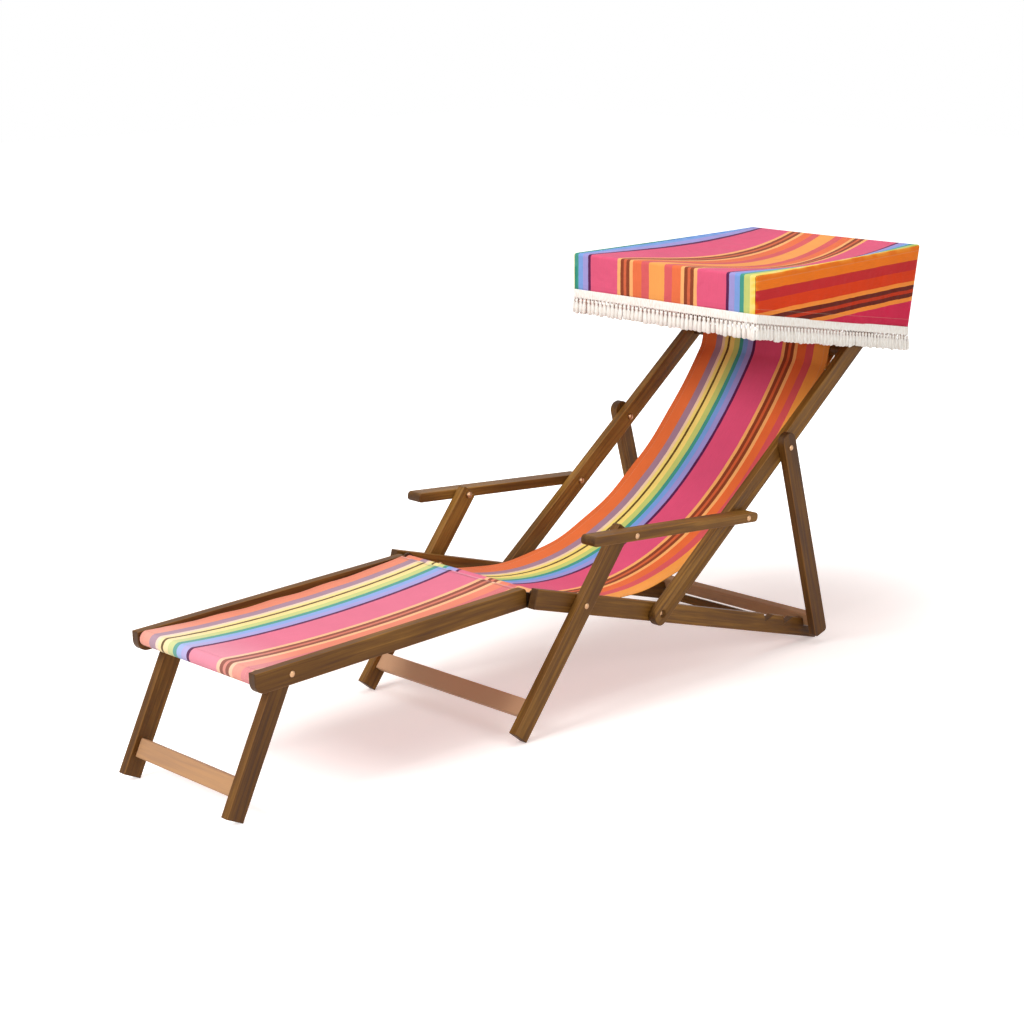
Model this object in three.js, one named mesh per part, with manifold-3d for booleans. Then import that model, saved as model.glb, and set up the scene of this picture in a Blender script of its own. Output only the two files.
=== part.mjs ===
// Folding hardwood deck chair with a cloth sling, a hook-on footrest and a fringed canopy.
// Millimetres, +Z up. X is the width (+X is the sitter's left), the footrest points to -Y.
// The timber frames lie in three layers side by side, so that they can fold past each other:
// the seat rails are the inner layer, the legs and back rails the middle one, and the armrests
// and the prop the outer one. The pivots are steel bolts with cap nuts, or rivets.

import * as THREE from 'three';
import { mergeVertices } from 'three/addons/utils/BufferGeometryUtils.js';
import Module from 'manifold-3d';

const wasm = await Module();
wasm.setup();

// Timber sections and layers
const railWidth = 44; // depth of every rail, seen from the side
const railThickness = 20;
const edgeChamfer = 1.5;
const seatInnerHalf = 213; // half the clear width between the seat rails
const layerGap = 0.8; // running gap between neighbouring layers, taken up by washers
const jointGap = 0.3; // butt joints and cloth against wood
const barRadius = 14; // round bars that carry cloth
const crossBarDepth = 40; // flat cross bars, along the rails that they join
const crossBarThickness = 20;

// Seat frame
const seatSlope = 16.05; // degrees, falling to the rear
const seatRailLength = 1021;
const seatFrontBarInset = 27; // front bar axis behind the rails' front ends
const seatRearBarInset = 40; // rear bar axis ahead of the rails' rear ends
const seatRearBarDepth = 20;
const seatRearBarLift = 3; // rear bar above the underside of the rails
const legPivotAlong = 139; // pivots, measured from the rails' front ends
const backPivotAlong = 400;

// Back frame
const backSlope = 37.15; // degrees, rising to the rear
const backTail = 28; // rail beyond the seat pivot
const backArmPivotAlong = 305; // pivots, measured from the seat pivot
const backPropPivotAlong = 526;
const backTopBarAlong = 842;
const backCanopyPivotAlong = 905;
const backRailAlong = 932; // top ends of the rails
const backTailRadius = 20;
const pivotRecessRadius = 9.5; // round recess in the back rails, for the seat pivot's bolt heads
const pivotRecessDepth = 8;

// Front legs
const legSlope = 51.4;
const legArmPivotAlong = 182.4; // armrest pivot above the seat pivot
const legHead = 12; // leg beyond the armrest pivot
const legBarAlong = 257; // cross bar axis below the seat pivot
const legHeadRadius = 8;

// Armrests
const armWidth = 41;
const armDepth = 22;
const armFrontReach = 135; // ahead of the leg pivot
const armRearReach = 34; // behind the back pivot
const armEndRadius = 9;

// Prop frame
const propHead = 36; // beyond its pivot
const propHeadRadius = 20;
const propBarAlong = 470; // cross bar axis below the pivot
const propBarDepth = 32; // along the prop's legs
const propFootAlong = 505;
const propFootRadius = 9;

// Notches in the seat rails for the prop bar
const notchDepth = 17;
const notchClearance = 0.8;
const notchSpacing = 78;
const spareNotchCount = 2;

// Footrest
const footrestHalf = 200; // half the width over its rails
const footrestSlope = 1.5; // degrees, rising to the rear
const footrestRailLength = 731;
const footrestRailRise = 4; // rail axis above the axis of the seat's front bar
const footrestEndGap = 5; // between the rail ends and the cloth on the seat's front bar
const footrestFrontBarInset = 19;
const footrestRearBarInset = 19;
const footrestNoseRadius = 24;
const footrestEndRadius = 10;
const footrestLegPivotInset = 90; // behind the front ends of the rails
const footrestLegSlope = 64;
const footrestLegHead = 12; // fully rounded, to pass under the cloth
const footrestLegBarAlong = 243;

// Hooks that hang the footrest on the seat's front bar
const hookThickness = 3;
const hookWall = 6;
const hookClearance = 0.5;
const hookTipDrop = 6; // rear tip below the bar's axis
const hookFlangeInset = 4; // flange's edge from the rail's inner face

// Canopy
const canopySlope = 0.7; // degrees, rising to the rear
const canopyFrontReach = 455; // from the pivot to the front valance
const canopyRearReach = 204;
const canopyRise = 195.5; // roof above the pivot
const canopyRearClearance = 7.2; // between its side rails and the cover, at the rear
const canopyFlare = 19; // each side stands this much wider at the front
const valanceFrontDrop = 89;
const valanceRearDrop = 201;
const valanceRearSlant = 38; // the rear hem hangs this far ahead of the roof's rear edge
const roofSag = 42; // the cloth hangs between the side rails like a hammock
const roofSagSkew = 1.35; // above 1, the lowest place lies behind the middle
const coverThickness = 2;
const fringeDrop = 59;
const canopyRailDepth = 28;
const canopyUprightFoot = 18; // upright below its pivot
const canopyUprightWidth = 36;
const canopyUprightDrop = 4; // upright short of the top of the side rail that it is glued to
const canopyBarInset = 11; // cross bars from the ends of the side rails
const frameSagShare = 0.28; // of the sag, at the canopy's own frame

// Cloth
const clothThickness = 1.6;
const slingHalf = 197;
const slingFrontDip = 5.7; // degrees between the cloth and the seat rails, at the front bar
const slingBackDip = 19.4; // the same at the top bar, with the back rails
const slingSeatReach = 560; // how far the cloth's curve follows its direction at either end
const slingBackReach = 320;
const footrestSlingHalf = 178;
const footrestSlingDip = 6;
const footrestSlingReachShare = 0.25; // of the distance between its bars

// Bolts
const boltRadius = 4;
const boltHoleClearance = 0.3;
const openPivotClearance = 2.4; // wider hole where the four-bar linkage closes
const boltHeadRadius = 6.5;
const boltHeadHeight = 2.5;
const boltRimShare = 0.25; // of the head's height, where its dome begins
const boltTipInNut = 5;
const capNutRadius = 7;
const capNutHeight = 8;
const capNutRoof = 2;
const boltHeadLift = 0.2; // under the head and the nut

const drillOverrun = 5;
const arcSegments = 6;
const barSegments = 20;
const drillSegments = 14;
const curveSteps = 30;

const wood = new THREE.MeshStandardMaterial({ color: '#7b5431', roughness: 0.55 });
const steel = new THREE.MeshStandardMaterial({ color: '#b9b4a8', roughness: 0.35, metalness: 1 });
const bronzed = new THREE.MeshStandardMaterial({ color: '#5a4632', roughness: 0.45, metalness: 1 });
const cloth = new THREE.MeshStandardMaterial({ color: '#e0566b', roughness: 0.9 });
const cotton = new THREE.MeshStandardMaterial({ color: '#efe6d6', roughness: 0.95 });

const radians = THREE.MathUtils.degToRad;
const sides = { left: 1, right: -1 };

// A frame's own axes: "along" runs with its rails towards the rear, "across" is square to them.
class TiltedFrame {
  constructor(origin, slope) {
    this.origin = origin;
    this.slope = radians(slope);
  }

  // The point (y, z) in the whole chair of a place in this frame.
  at(along, across = 0) {
    const centre = new THREE.Vector2();
    return new THREE.Vector2(along, across).rotateAround(centre, this.slope).add(this.origin);
  }

  // The place in this frame (along, across) of a point (y, z) of the whole chair.
  locate(point) {
    const centre = new THREE.Vector2();
    return point.clone().sub(this.origin).rotateAround(centre, -this.slope);
  }

  group() {
    const group = new THREE.Group();
    group.position.set(0, this.origin.x, this.origin.y);
    group.rotation.x = this.slope;
    return group;
  }
}

// Solids and meshes

function toSolid(geometry) {
  geometry.deleteAttribute('normal');
  geometry.deleteAttribute('uv');
  const merged = mergeVertices(geometry);
  return new wasm.Manifold(new wasm.Mesh({
    numProp: 3,
    vertProperties: merged.attributes.position.array,
    triVerts: merged.index.array,
  }));
}

function toGeometry(solid) {
  const mesh = solid.getMesh();
  const geometry = new THREE.BufferGeometry();
  geometry.setAttribute('position', new THREE.Float32BufferAttribute(mesh.vertProperties, 3));
  geometry.setIndex(new THREE.Uint32BufferAttribute(mesh.triVerts, 1));
  geometry.computeVertexNormals();
  return geometry;
}

// Puts a side view, drawn in (along, across), upright: its depth then runs along +X.
function standUp(geometry) {
  const axes = new THREE.Matrix4().makeBasis(
    new THREE.Vector3(0, 1, 0),
    new THREE.Vector3(0, 0, 1),
    new THREE.Vector3(1, 0, 0),
  );
  return geometry.applyMatrix4(axes);
}

// A board cut to the outline, from x = start to x = start + thickness.
function board(outline, start, thickness, chamfer = edgeChamfer) {
  const geometry = new THREE.ExtrudeGeometry(outline, {
    depth: thickness - 2 * chamfer,
    bevelEnabled: chamfer > 0,
    bevelThickness: chamfer,
    bevelSize: chamfer,
    bevelOffset: -chamfer,
    bevelSegments: 1,
    curveSegments: arcSegments,
  });
  geometry.translate(0, 0, start + chamfer);
  return toSolid(standUp(geometry));
}

// The same board on either side of the chair, its inner face at x = inner or -inner.
function sideBoard(outline, side, inner, thickness, chamfer = edgeChamfer) {
  const start = side > 0 ? inner : -inner - thickness;
  return board(outline, start, thickness, chamfer);
}

// A round hole along X through everything at that place.
function drill(solid, along, across, radius) {
  const half = outerInner + armWidth + drillOverrun;
  return solid.subtract(crosswiseCylinder(new THREE.Vector2(along, across), radius, half));
}

// An outline between two ends and two edges; the radii go round from the low start corner.
function roundedOutline(start, end, low, high, radii) {
  const [startLow, endLow, endHigh, startHigh] = radii;
  const shape = new THREE.Shape();
  shape.moveTo(start + startLow, low);
  shape.lineTo(end - endLow, low);
  if (endLow > 0) shape.absarc(end - endLow, low + endLow, endLow, -Math.PI / 2, 0);
  shape.lineTo(end, high - endHigh);
  if (endHigh > 0) shape.absarc(end - endHigh, high - endHigh, endHigh, 0, Math.PI / 2);
  shape.lineTo(start + startHigh, high);
  if (startHigh > 0) {
    shape.absarc(start + startHigh, high - startHigh, startHigh, Math.PI / 2, Math.PI);
  }
  shape.lineTo(start, low + startLow);
  if (startLow > 0) {
    shape.absarc(start + startLow, low + startLow, startLow, Math.PI, 1.5 * Math.PI);
  }
  return shape;
}

function railOutline(start, end, radii, width = railWidth) {
  return roundedOutline(start, end, -width / 2, width / 2, radii);
}

// A round bar between two faces at x = -half and x = half.
function roundBar(along, across, half) {
  return crosswiseCylinder(new THREE.Vector2(along, across), barRadius, half - jointGap);
}

// A flat cross bar between two faces: "depth" lies along the rails that it joins.
function flatBar(along, across, depth, thickness, half) {
  const reach = half - jointGap;
  const outline = roundedOutline(
    along - depth / 2, along + depth / 2, across - thickness / 2, across + thickness / 2,
    [0, 0, 0, 0],
  );
  return board(outline, -reach, 2 * reach);
}

// Cloth that hangs between two bars, with a sewn pocket round each. The slopes are its own, and
// it leaves each pocket at "lift" above the bar's axis.
function slingSolid(startBar, endBar, startSlope, endSlope, startReach, endReach, lift, half) {
  const bore = barRadius + jointGap;
  const startRun = new THREE.Vector2(Math.cos(startSlope), Math.sin(startSlope));
  const endRun = new THREE.Vector2(Math.cos(endSlope), Math.sin(endSlope));
  const start = startBar.clone().addScaledVector(squareTo(startRun), lift);
  const end = endBar.clone().addScaledVector(squareTo(endRun), lift);
  const startPull = start.clone().addScaledVector(startRun, startReach);
  const endPull = end.clone().addScaledVector(endRun, -endReach);
  const curve = new THREE.CubicBezierCurve(start, startPull, endPull, end);
  const upper = [];
  const lower = [];
  for (let step = 0; step <= curveSteps; step += 1) {
    const point = curve.getPoint(step / curveSteps);
    const square = squareTo(curve.getTangent(step / curveSteps));
    upper.push(point.clone().addScaledVector(square, clothThickness / 2));
    lower.push(point.clone().addScaledVector(square, -clothThickness / 2));
  }
  let solid = board(new THREE.Shape([...lower, ...upper.reverse()]), -half, 2 * half, 0);
  for (const bar of [startBar, endBar]) {
    solid = solid.add(crosswiseCylinder(bar, bore + clothThickness, half));
  }
  for (const bar of [startBar, endBar]) {
    solid = solid.subtract(crosswiseCylinder(bar, bore, half + drillOverrun));
  }
  return solid;
}

function squareTo(run) {
  return new THREE.Vector2(-run.y, run.x);
}

function crosswiseCylinder(place, radius, half) {
  const cylinder = new THREE.CylinderGeometry(radius, radius, 2 * half, barSegments);
  cylinder.rotateZ(-Math.PI / 2);
  cylinder.translate(0, place.x, place.y);
  return toSolid(cylinder);
}

function addMesh(group, name, geometryOrSolid, material) {
  const isGeometry = geometryOrSolid.isBufferGeometry === true;
  const geometry = isGeometry ? geometryOrSolid : toGeometry(geometryOrSolid);
  const mesh = new THREE.Mesh(geometry, material);
  mesh.name = name;
  group.add(mesh);
}

// Bolts

// A dome-headed bolt along X: its head outside x = outer, its tip in the nut at x = inner.
function boltGeometry(side, inner, outer) {
  const tip = inner - boltTipInNut;
  return lathedAlongX([[0, tip], [boltRadius, tip], ...domeProfile(outer, 1)], side);
}

// A rivet with the same head on both faces.
function rivetGeometry(side, inner, outer) {
  return lathedAlongX([...domeProfile(inner, -1).reverse(), ...domeProfile(outer, 1)], side);
}

function domeProfile(face, direction) {
  const seat = face + direction * boltHeadLift;
  const rim = seat + direction * boltHeadHeight * boltRimShare;
  const crown = seat + direction * boltHeadHeight;
  return [
    [boltRadius, seat],
    [boltHeadRadius, seat],
    [boltHeadRadius, rim],
    [boltHeadRadius * Math.cos(Math.PI / 4), THREE.MathUtils.lerp(rim, crown, Math.sin(Math.PI / 4))],
    [0, crown],
  ];
}

// A cap nut over the bolt's tip, its open face against x = inner.
function capNutGeometry(side, inner) {
  const bore = boltRadius + boltHoleClearance;
  const face = inner - boltHeadLift;
  const end = face - capNutHeight;
  const profile = [
    [0, end],
    [capNutRadius * Math.cos(Math.PI / 4), end + capNutRoof / 2],
    [capNutRadius, end + capNutRoof],
    [capNutRadius, face],
    [bore, face],
    [bore, end + capNutRoof],
    [0, end + capNutRoof],
  ];
  return lathedAlongX(profile, side);
}

function lathedAlongX(profile, side) {
  const points = profile.map(([radius, place]) => new THREE.Vector2(radius, place));
  const geometry = new THREE.LatheGeometry(points, drillSegments);
  geometry.rotateZ(-side * Math.PI / 2);
  return geometry;
}

function addBolts(group, name, along, across, inner, outer) {
  for (const [sideName, side] of Object.entries(sides)) {
    const bolt = boltGeometry(side, inner, outer);
    bolt.translate(0, along, across);
    addMesh(group, `${name}_bolt_${sideName}`, bolt, steel);
    const nut = capNutGeometry(side, inner);
    nut.translate(0, along, across);
    addMesh(group, `${name}_nut_${sideName}`, nut, steel);
  }
}

// Layers: inner faces of each, measured from the middle of the chair
const middleInner = seatInnerHalf + railThickness + layerGap;
const outerInner = middleInner + railThickness + layerGap;
const boltHole = boltRadius + boltHoleClearance;
const canopyRearHalf = middleInner + railThickness + canopyRearClearance + coverThickness;
const canopyFrontHalf = canopyRearHalf + canopyFlare;

// The frames, each set out from the one that carries it

const seatHeight = seatRailLength * Math.sin(radians(seatSlope))
  + (railWidth / 2) * Math.cos(radians(seatSlope));
const seat = new TiltedFrame(new THREE.Vector2(0, seatHeight), -seatSlope);
const frontBarAxis = seat.at(seatFrontBarInset);
const legPivot = seat.at(legPivotAlong);
const backPivot = seat.at(backPivotAlong);

const back = new TiltedFrame(backPivot, backSlope);
const leg = new TiltedFrame(legPivot, legSlope);
const armFront = leg.at(legArmPivotAlong);
const armRear = back.at(backArmPivotAlong);
const armSpan = armRear.clone().sub(armFront);
const arm = new TiltedFrame(armFront, THREE.MathUtils.radToDeg(armSpan.angle()));

// The legs are cut square, and stand on their rear lower corners.
const legFootAlong = (legPivot.y - (railWidth / 2) * Math.cos(radians(legSlope)))
  / Math.sin(radians(legSlope));

// The prop leans so that the front lower edge of its bar lies in the last notch.
const propPivot = back.at(backPropPivotAlong);
const propPivotInSeat = seat.locate(propPivot);
const propBarFoot = propBarAlong + propBarDepth / 2;
const propBarCorner = Math.hypot(propBarFoot, crossBarThickness / 2);
const propBarLift = propPivotInSeat.y - railWidth / 2 + notchDepth;
const propCornerLean = Math.atan2(crossBarThickness / 2, propBarFoot);
const propLean = Math.acos(propBarLift / propBarCorner) + propCornerLean;
const propSlope = THREE.MathUtils.radToDeg(propLean) - seatSlope - 90;
const prop = new TiltedFrame(propPivot, propSlope);
const notchPlace = seat.locate(prop.at(propBarFoot, -crossBarThickness / 2));

const footrest = new TiltedFrame(frontBarAxis, footrestSlope);
const footrestInner = footrestHalf - railThickness;
const footrestRearEnd = -(barRadius + jointGap + clothThickness + footrestEndGap);
const footrestFrontEnd = footrestRearEnd - footrestRailLength;
const footrestTop = footrestRailRise + railWidth / 2;
const footrestLegPivot = footrest.at(footrestFrontEnd + footrestLegPivotInset, footrestRailRise);
const footrestLeg = new TiltedFrame(footrestLegPivot, footrestLegSlope);
const footrestLegInner = footrestInner - layerGap - railThickness;
const footrestLegFoot = (footrestLegPivot.y
  - (railWidth / 2) * Math.cos(radians(footrestLegSlope))) / Math.sin(radians(footrestLegSlope));

const canopyPivot = back.at(backCanopyPivotAlong);
const canopy = new TiltedFrame(canopyPivot, canopySlope);

const chair = new THREE.Group();

function addSeatFrame() {
  const group = seat.group();
  const outline = railOutline(0, seatRailLength, [0, 0, 0, 0]);
  const notches = notchOutlines();
  for (const [sideName, side] of Object.entries(sides)) {
    let rail = sideBoard(outline, side, seatInnerHalf, railThickness);
    rail = drill(rail, legPivotAlong, 0, boltHole);
    rail = drill(rail, backPivotAlong, 0, boltHole);
    for (const notch of notches) {
      const width = 2 * (seatInnerHalf + railThickness + drillOverrun);
      rail = rail.subtract(board(notch, -width / 2, width, 0));
    }
    addMesh(group, `seat_rail_${sideName}`, rail, wood);
  }
  addMesh(group, 'seat_front_bar', roundBar(seatFrontBarInset, 0, seatInnerHalf), wood);
  const rearBarHeight = -railWidth / 2 + seatRearBarLift + seatRearBarDepth / 2;
  const rearBar = flatBar(
    seatRailLength - seatRearBarInset, rearBarHeight, crossBarThickness, seatRearBarDepth,
    seatInnerHalf,
  );
  addMesh(group, 'seat_rear_bar', rearBar, wood);
  addBolts(group, 'leg_pivot', legPivotAlong, 0, seatInnerHalf, middleInner + railThickness);
  const recessFloor = middleInner + railThickness - pivotRecessDepth;
  addBolts(group, 'back_pivot', backPivotAlong, 0, seatInnerHalf, recessFloor);
  chair.add(group);
}

// Saw-tooth notches: a short front wall in line with the prop, and a ramp square to it. Behind
// the last one the rail stays cut down, so that the bar can slide out to the rear.
function notchOutlines() {
  const top = railWidth / 2;
  const floor = notchPlace.y - notchClearance;
  const wallRun = (top - floor) * Math.tan(propLean);
  const rampRun = (top - floor) / Math.tan(propLean);
  const above = top + drillOverrun;
  const overhang = drillOverrun * Math.tan(propLean);
  const foot = notchPlace.x - notchClearance;
  const ledge = new THREE.Shape([
    new THREE.Vector2(foot, floor),
    new THREE.Vector2(seatRailLength + drillOverrun, floor),
    new THREE.Vector2(seatRailLength + drillOverrun, above),
    new THREE.Vector2(foot - wallRun - overhang, above),
  ]);
  const outlines = [ledge];
  for (let index = 1; index <= spareNotchCount; index += 1) {
    const place = foot - index * notchSpacing;
    outlines.push(new THREE.Shape([
      new THREE.Vector2(place, floor),
      new THREE.Vector2(place + rampRun, top),
      new THREE.Vector2(place + rampRun, above),
      new THREE.Vector2(place - wallRun - overhang, above),
    ]));
  }
  return outlines;
}

function addBackFrame() {
  const group = back.group();
  const radii = [backTailRadius, 0, 0, backTailRadius];
  const outline = railOutline(-backTail, backRailAlong, radii);
  const bolts = [0, backArmPivotAlong, backPropPivotAlong, backCanopyPivotAlong];
  for (const [sideName, side] of Object.entries(sides)) {
    let rail = sideBoard(outline, side, middleInner, railThickness);
    for (const along of bolts) rail = drill(rail, along, 0, boltHole);
    const recess = crosswiseCylinder(new THREE.Vector2(), pivotRecessRadius, pivotRecessDepth);
    rail = rail.subtract(recess.translate([side * (middleInner + railThickness), 0, 0]));
    addMesh(group, `back_rail_${sideName}`, rail, wood);
  }
  addMesh(group, 'back_top_bar', roundBar(backTopBarAlong, 0, middleInner), wood);
  const armOuter = outerInner + armWidth;
  const propOuter = outerInner + railThickness;
  const canopyInner = middleInner - layerGap - railThickness;
  addBolts(group, 'arm_rear', backArmPivotAlong, 0, middleInner, armOuter);
  addBolts(group, 'prop_pivot', backPropPivotAlong, 0, middleInner, propOuter);
  addBolts(group, 'canopy_pivot', backCanopyPivotAlong, 0, canopyInner, middleInner + railThickness);
  chair.add(group);
}

function addLegs() {
  const group = leg.group();
  const radii = [0, legHeadRadius, legHeadRadius, 0];
  const outline = railOutline(-legFootAlong, legArmPivotAlong + legHead, radii);
  for (const [sideName, side] of Object.entries(sides)) {
    let plank = sideBoard(outline, side, middleInner, railThickness);
    plank = drill(plank, 0, 0, boltHole);
    plank = drill(plank, legArmPivotAlong, 0, boltHole);
    addMesh(group, `leg_${sideName}`, plank, wood);
  }
  const bar = flatBar(-legBarAlong, 0, crossBarDepth, crossBarThickness, middleInner);
  addMesh(group, 'leg_cross_bar', bar, wood);
  addBolts(group, 'arm_front', legArmPivotAlong, 0, middleInner, outerInner + armWidth);
  chair.add(group);
}

function addArmrests() {
  const group = arm.group();
  const radii = [armEndRadius, armEndRadius, armEndRadius, armEndRadius];
  const outline = railOutline(-armFrontReach, armSpan.length() + armRearReach, radii, armDepth);
  for (const [sideName, side] of Object.entries(sides)) {
    let plank = sideBoard(outline, side, outerInner, armWidth);
    plank = drill(plank, 0, 0, boltHole);
    plank = drill(plank, armSpan.length(), 0, boltHole + openPivotClearance);
    addMesh(group, `armrest_${sideName}`, plank, wood);
  }
  chair.add(group);
}

function addProp() {
  const group = prop.group();
  const radii = [propHeadRadius, propFootRadius, propFootRadius, propHeadRadius];
  const outline = railOutline(-propHead, propFootAlong, radii);
  for (const [sideName, side] of Object.entries(sides)) {
    let plank = sideBoard(outline, side, outerInner, railThickness);
    plank = drill(plank, 0, 0, boltHole);
    addMesh(group, `prop_${sideName}`, plank, wood);
  }
  const bar = flatBar(propBarAlong, 0, propBarDepth, crossBarThickness, outerInner);
  addMesh(group, 'prop_cross_bar', bar, wood);
  chair.add(group);
}

function addFootrest() {
  const group = footrest.group();
  const low = footrestRailRise - railWidth / 2;
  const outline = roundedOutline(
    footrestFrontEnd, footrestRearEnd, low, footrestTop, [footrestNoseRadius, 0, footrestEndRadius, 0],
  );
  const pivotAlong = footrestFrontEnd + footrestLegPivotInset;
  for (const [sideName, side] of Object.entries(sides)) {
    let rail = sideBoard(outline, side, footrestInner, railThickness);
    rail = drill(rail, pivotAlong, footrestRailRise, boltHole);
    addMesh(group, `footrest_rail_${sideName}`, rail, wood);
  }
  const barHeight = footrestTop - barRadius - jointGap - clothThickness;
  const frontBar = new THREE.Vector2(footrestFrontEnd + footrestFrontBarInset, barHeight);
  const rearBar = new THREE.Vector2(footrestRearEnd - footrestRearBarInset, barHeight);
  addMesh(group, 'footrest_front_bar', roundBar(frontBar.x, frontBar.y, footrestInner), wood);
  addMesh(group, 'footrest_rear_bar', roundBar(rearBar.x, rearBar.y, footrestInner), wood);
  const dip = radians(footrestSlingDip);
  const reach = footrestSlingReachShare * (rearBar.x - frontBar.x);
  const lift = barRadius + jointGap + clothThickness / 2;
  const sling = slingSolid(frontBar, rearBar, -dip, dip, reach, reach, lift, footrestSlingHalf);
  addMesh(group, 'footrest_sling', sling, cloth);
  for (const [sideName, side] of Object.entries(sides)) {
    addMesh(group, `footrest_hook_${sideName}`, hookSolid(side), bronzed);
  }
  for (const [sideName, side] of Object.entries(sides)) {
    const rivet = rivetGeometry(side, footrestLegInner, footrestHalf);
    rivet.translate(0, pivotAlong, footrestRailRise);
    addMesh(group, `footrest_leg_rivet_${sideName}`, rivet, steel);
  }
  chair.add(group);
}

// A steel angle: a flange on the rail's end face, and beside the rail a plate with a slot, open
// below, that drops over the bare end of the seat's front bar.
function hookSolid(side) {
  const start = footrestHalf + jointGap;
  const flangeStart = footrestInner + hookFlangeInset;
  const flangeWidth = start + hookThickness - flangeStart;
  const flangeFace = footrestRearEnd + jointGap;
  const flangeOutline = roundedOutline(
    flangeFace, flangeFace + hookThickness, footrestRailRise - railWidth / 2,
    footrestTop - footrestEndRadius, [0, 0, 0, 0],
  );
  const plate = sideBoard(hookOutline(), side, start, hookThickness, 0);
  return plate.add(sideBoard(flangeOutline, side, flangeStart, flangeWidth, 0));
}

function hookOutline() {
  const bore = barRadius + hookClearance;
  const outside = bore + hookWall;
  const low = footrestRailRise - railWidth / 2;
  const shape = new THREE.Shape();
  shape.moveTo(-outside, low);
  shape.lineTo(-bore, low);
  shape.absarc(0, 0, bore, Math.PI, 0, true);
  shape.lineTo(bore, -hookTipDrop);
  shape.lineTo(outside, -hookTipDrop);
  shape.absarc(0, 0, outside, 0, Math.PI);
  shape.closePath();
  return shape;
}

function addFootrestLegs() {
  const group = footrestLeg.group();
  const radii = [0, railWidth / 2, railWidth / 2, 0];
  const outline = railOutline(-footrestLegFoot, footrestLegHead, radii);
  for (const [sideName, side] of Object.entries(sides)) {
    let plank = sideBoard(outline, side, footrestLegInner, railThickness);
    plank = drill(plank, 0, 0, boltHole);
    addMesh(group, `footrest_leg_${sideName}`, plank, wood);
  }
  const bar = flatBar(-footrestLegBarAlong, 0, crossBarDepth, crossBarThickness, footrestLegInner);
  addMesh(group, 'footrest_leg_cross_bar', bar, wood);
  chair.add(group);
}

// The sling hangs from the seat's front bar to the top bar of the back in one long curve. Its
// pockets close to a single cloth, which leaves each bar in line with the bar's axis.
function addSling() {
  const sling = slingSolid(
    frontBarAxis,
    back.at(backTopBarAlong),
    seat.slope - radians(slingFrontDip),
    back.slope + radians(slingBackDip),
    slingSeatReach,
    slingBackReach,
    0,
    slingHalf,
  );
  addMesh(chair, 'sling', sling, cloth);
}

// A block with the canopy's outer form, drawn in all round by "inset". It reaches from "drop"
// below the hem to "rise" above it, or to the roof. "share" is 0 at the front, 1 at the rear.
function canopyBlock(inset, drop, rise) {
  const columns = 8;
  const rows = 12;
  const box = new THREE.BoxGeometry(2, 1, 1, columns, rows, 1);
  const positions = box.attributes.position;
  for (let index = 0; index < positions.count; index += 1) {
    const across = positions.getX(index);
    const share = positions.getY(index) + 0.5;
    const isTop = positions.getZ(index) > 0;
    const half = THREE.MathUtils.lerp(canopyFrontHalf, canopyRearHalf, share) - inset;
    const hem = canopyRise - THREE.MathUtils.lerp(valanceFrontDrop, valanceRearDrop, share);
    const skewed = share ** roofSagSkew;
    const sagShare = 4 * skewed * (1 - skewed) * (1 - across * across);
    const roof = canopyRise - inset - roofSag * sagShare;
    const rearSlant = valanceRearSlant * share;
    const front = -canopyFrontReach + inset;
    const rear = canopyRearReach - inset;
    const roofPlace = THREE.MathUtils.lerp(front, rear, share);
    const lean = rearSlant / THREE.MathUtils.lerp(valanceFrontDrop, valanceRearDrop, share);
    let height = roof;
    if (!isTop) height = hem - drop;
    if (isTop && rise !== null) height = hem + rise;
    const place = roofPlace - lean * (canopyRise - height);
    positions.setXYZ(index, across * half, place, height);
  }
  return toSolid(box);
}

function addCanopy() {
  const group = canopy.group();
  const inner = middleInner - layerGap - railThickness;
  const frameTop = canopyRise - coverThickness - frameSagShare * roofSag - jointGap;
  const railLow = frameTop - canopyRailDepth;
  const railFront = -canopyFrontReach + coverThickness + jointGap;
  const rearLean = valanceRearSlant * (canopyRise - railLow) / valanceRearDrop;
  const railRear = canopyRearReach - coverThickness - jointGap - rearLean;
  const railOutlineShape = roundedOutline(railFront, railRear, railLow, frameTop, [0, 0, 0, 0]);
  const uprightOutline = roundedOutline(
    -canopyUprightWidth / 2, canopyUprightWidth / 2, -canopyUprightFoot,
    frameTop - canopyUprightDrop, [canopyUprightFoot, canopyUprightFoot, 0, 0],
  );
  for (const [sideName, side] of Object.entries(sides)) {
    const rail = sideBoard(railOutlineShape, side, middleInner, railThickness);
    addMesh(group, `canopy_side_rail_${sideName}`, rail, wood);
    let upright = sideBoard(uprightOutline, side, inner, railThickness);
    upright = drill(upright, 0, 0, boltHole);
    addMesh(group, `canopy_upright_${sideName}`, upright, wood);
  }
  const barHeight = frameTop - canopyRailDepth / 2;
  for (const [name, along] of [
    ['canopy_front_bar', railFront + canopyBarInset],
    ['canopy_rear_bar', railRear - canopyBarInset],
  ]) {
    const bar = flatBar(along, barHeight, crossBarThickness, canopyRailDepth, middleInner);
    addMesh(group, name, bar, wood);
  }
  const cover = canopyBlock(0, 0, null).subtract(canopyBlock(coverThickness, drillOverrun, null));
  addMesh(group, 'canopy_cover', cover, cloth);
  const fringeOuter = canopyBlock(0, fringeDrop, -jointGap);
  const fringeInner = canopyBlock(coverThickness, fringeDrop + drillOverrun, drillOverrun);
  addMesh(group, 'canopy_fringe', fringeOuter.subtract(fringeInner), cotton);
  chair.add(group);
}

addSeatFrame();
addBackFrame();
addLegs();
addArmrests();
addProp();
addFootrest();
addFootrestLegs();
addSling();
addCanopy();

// The origin is on the floor, under the middle of the whole chair.
const bounds = new THREE.Box3().setFromObject(chair, true);
chair.position.y = -(bounds.min.y + bounds.max.y) / 2;

export default chair;
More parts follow.
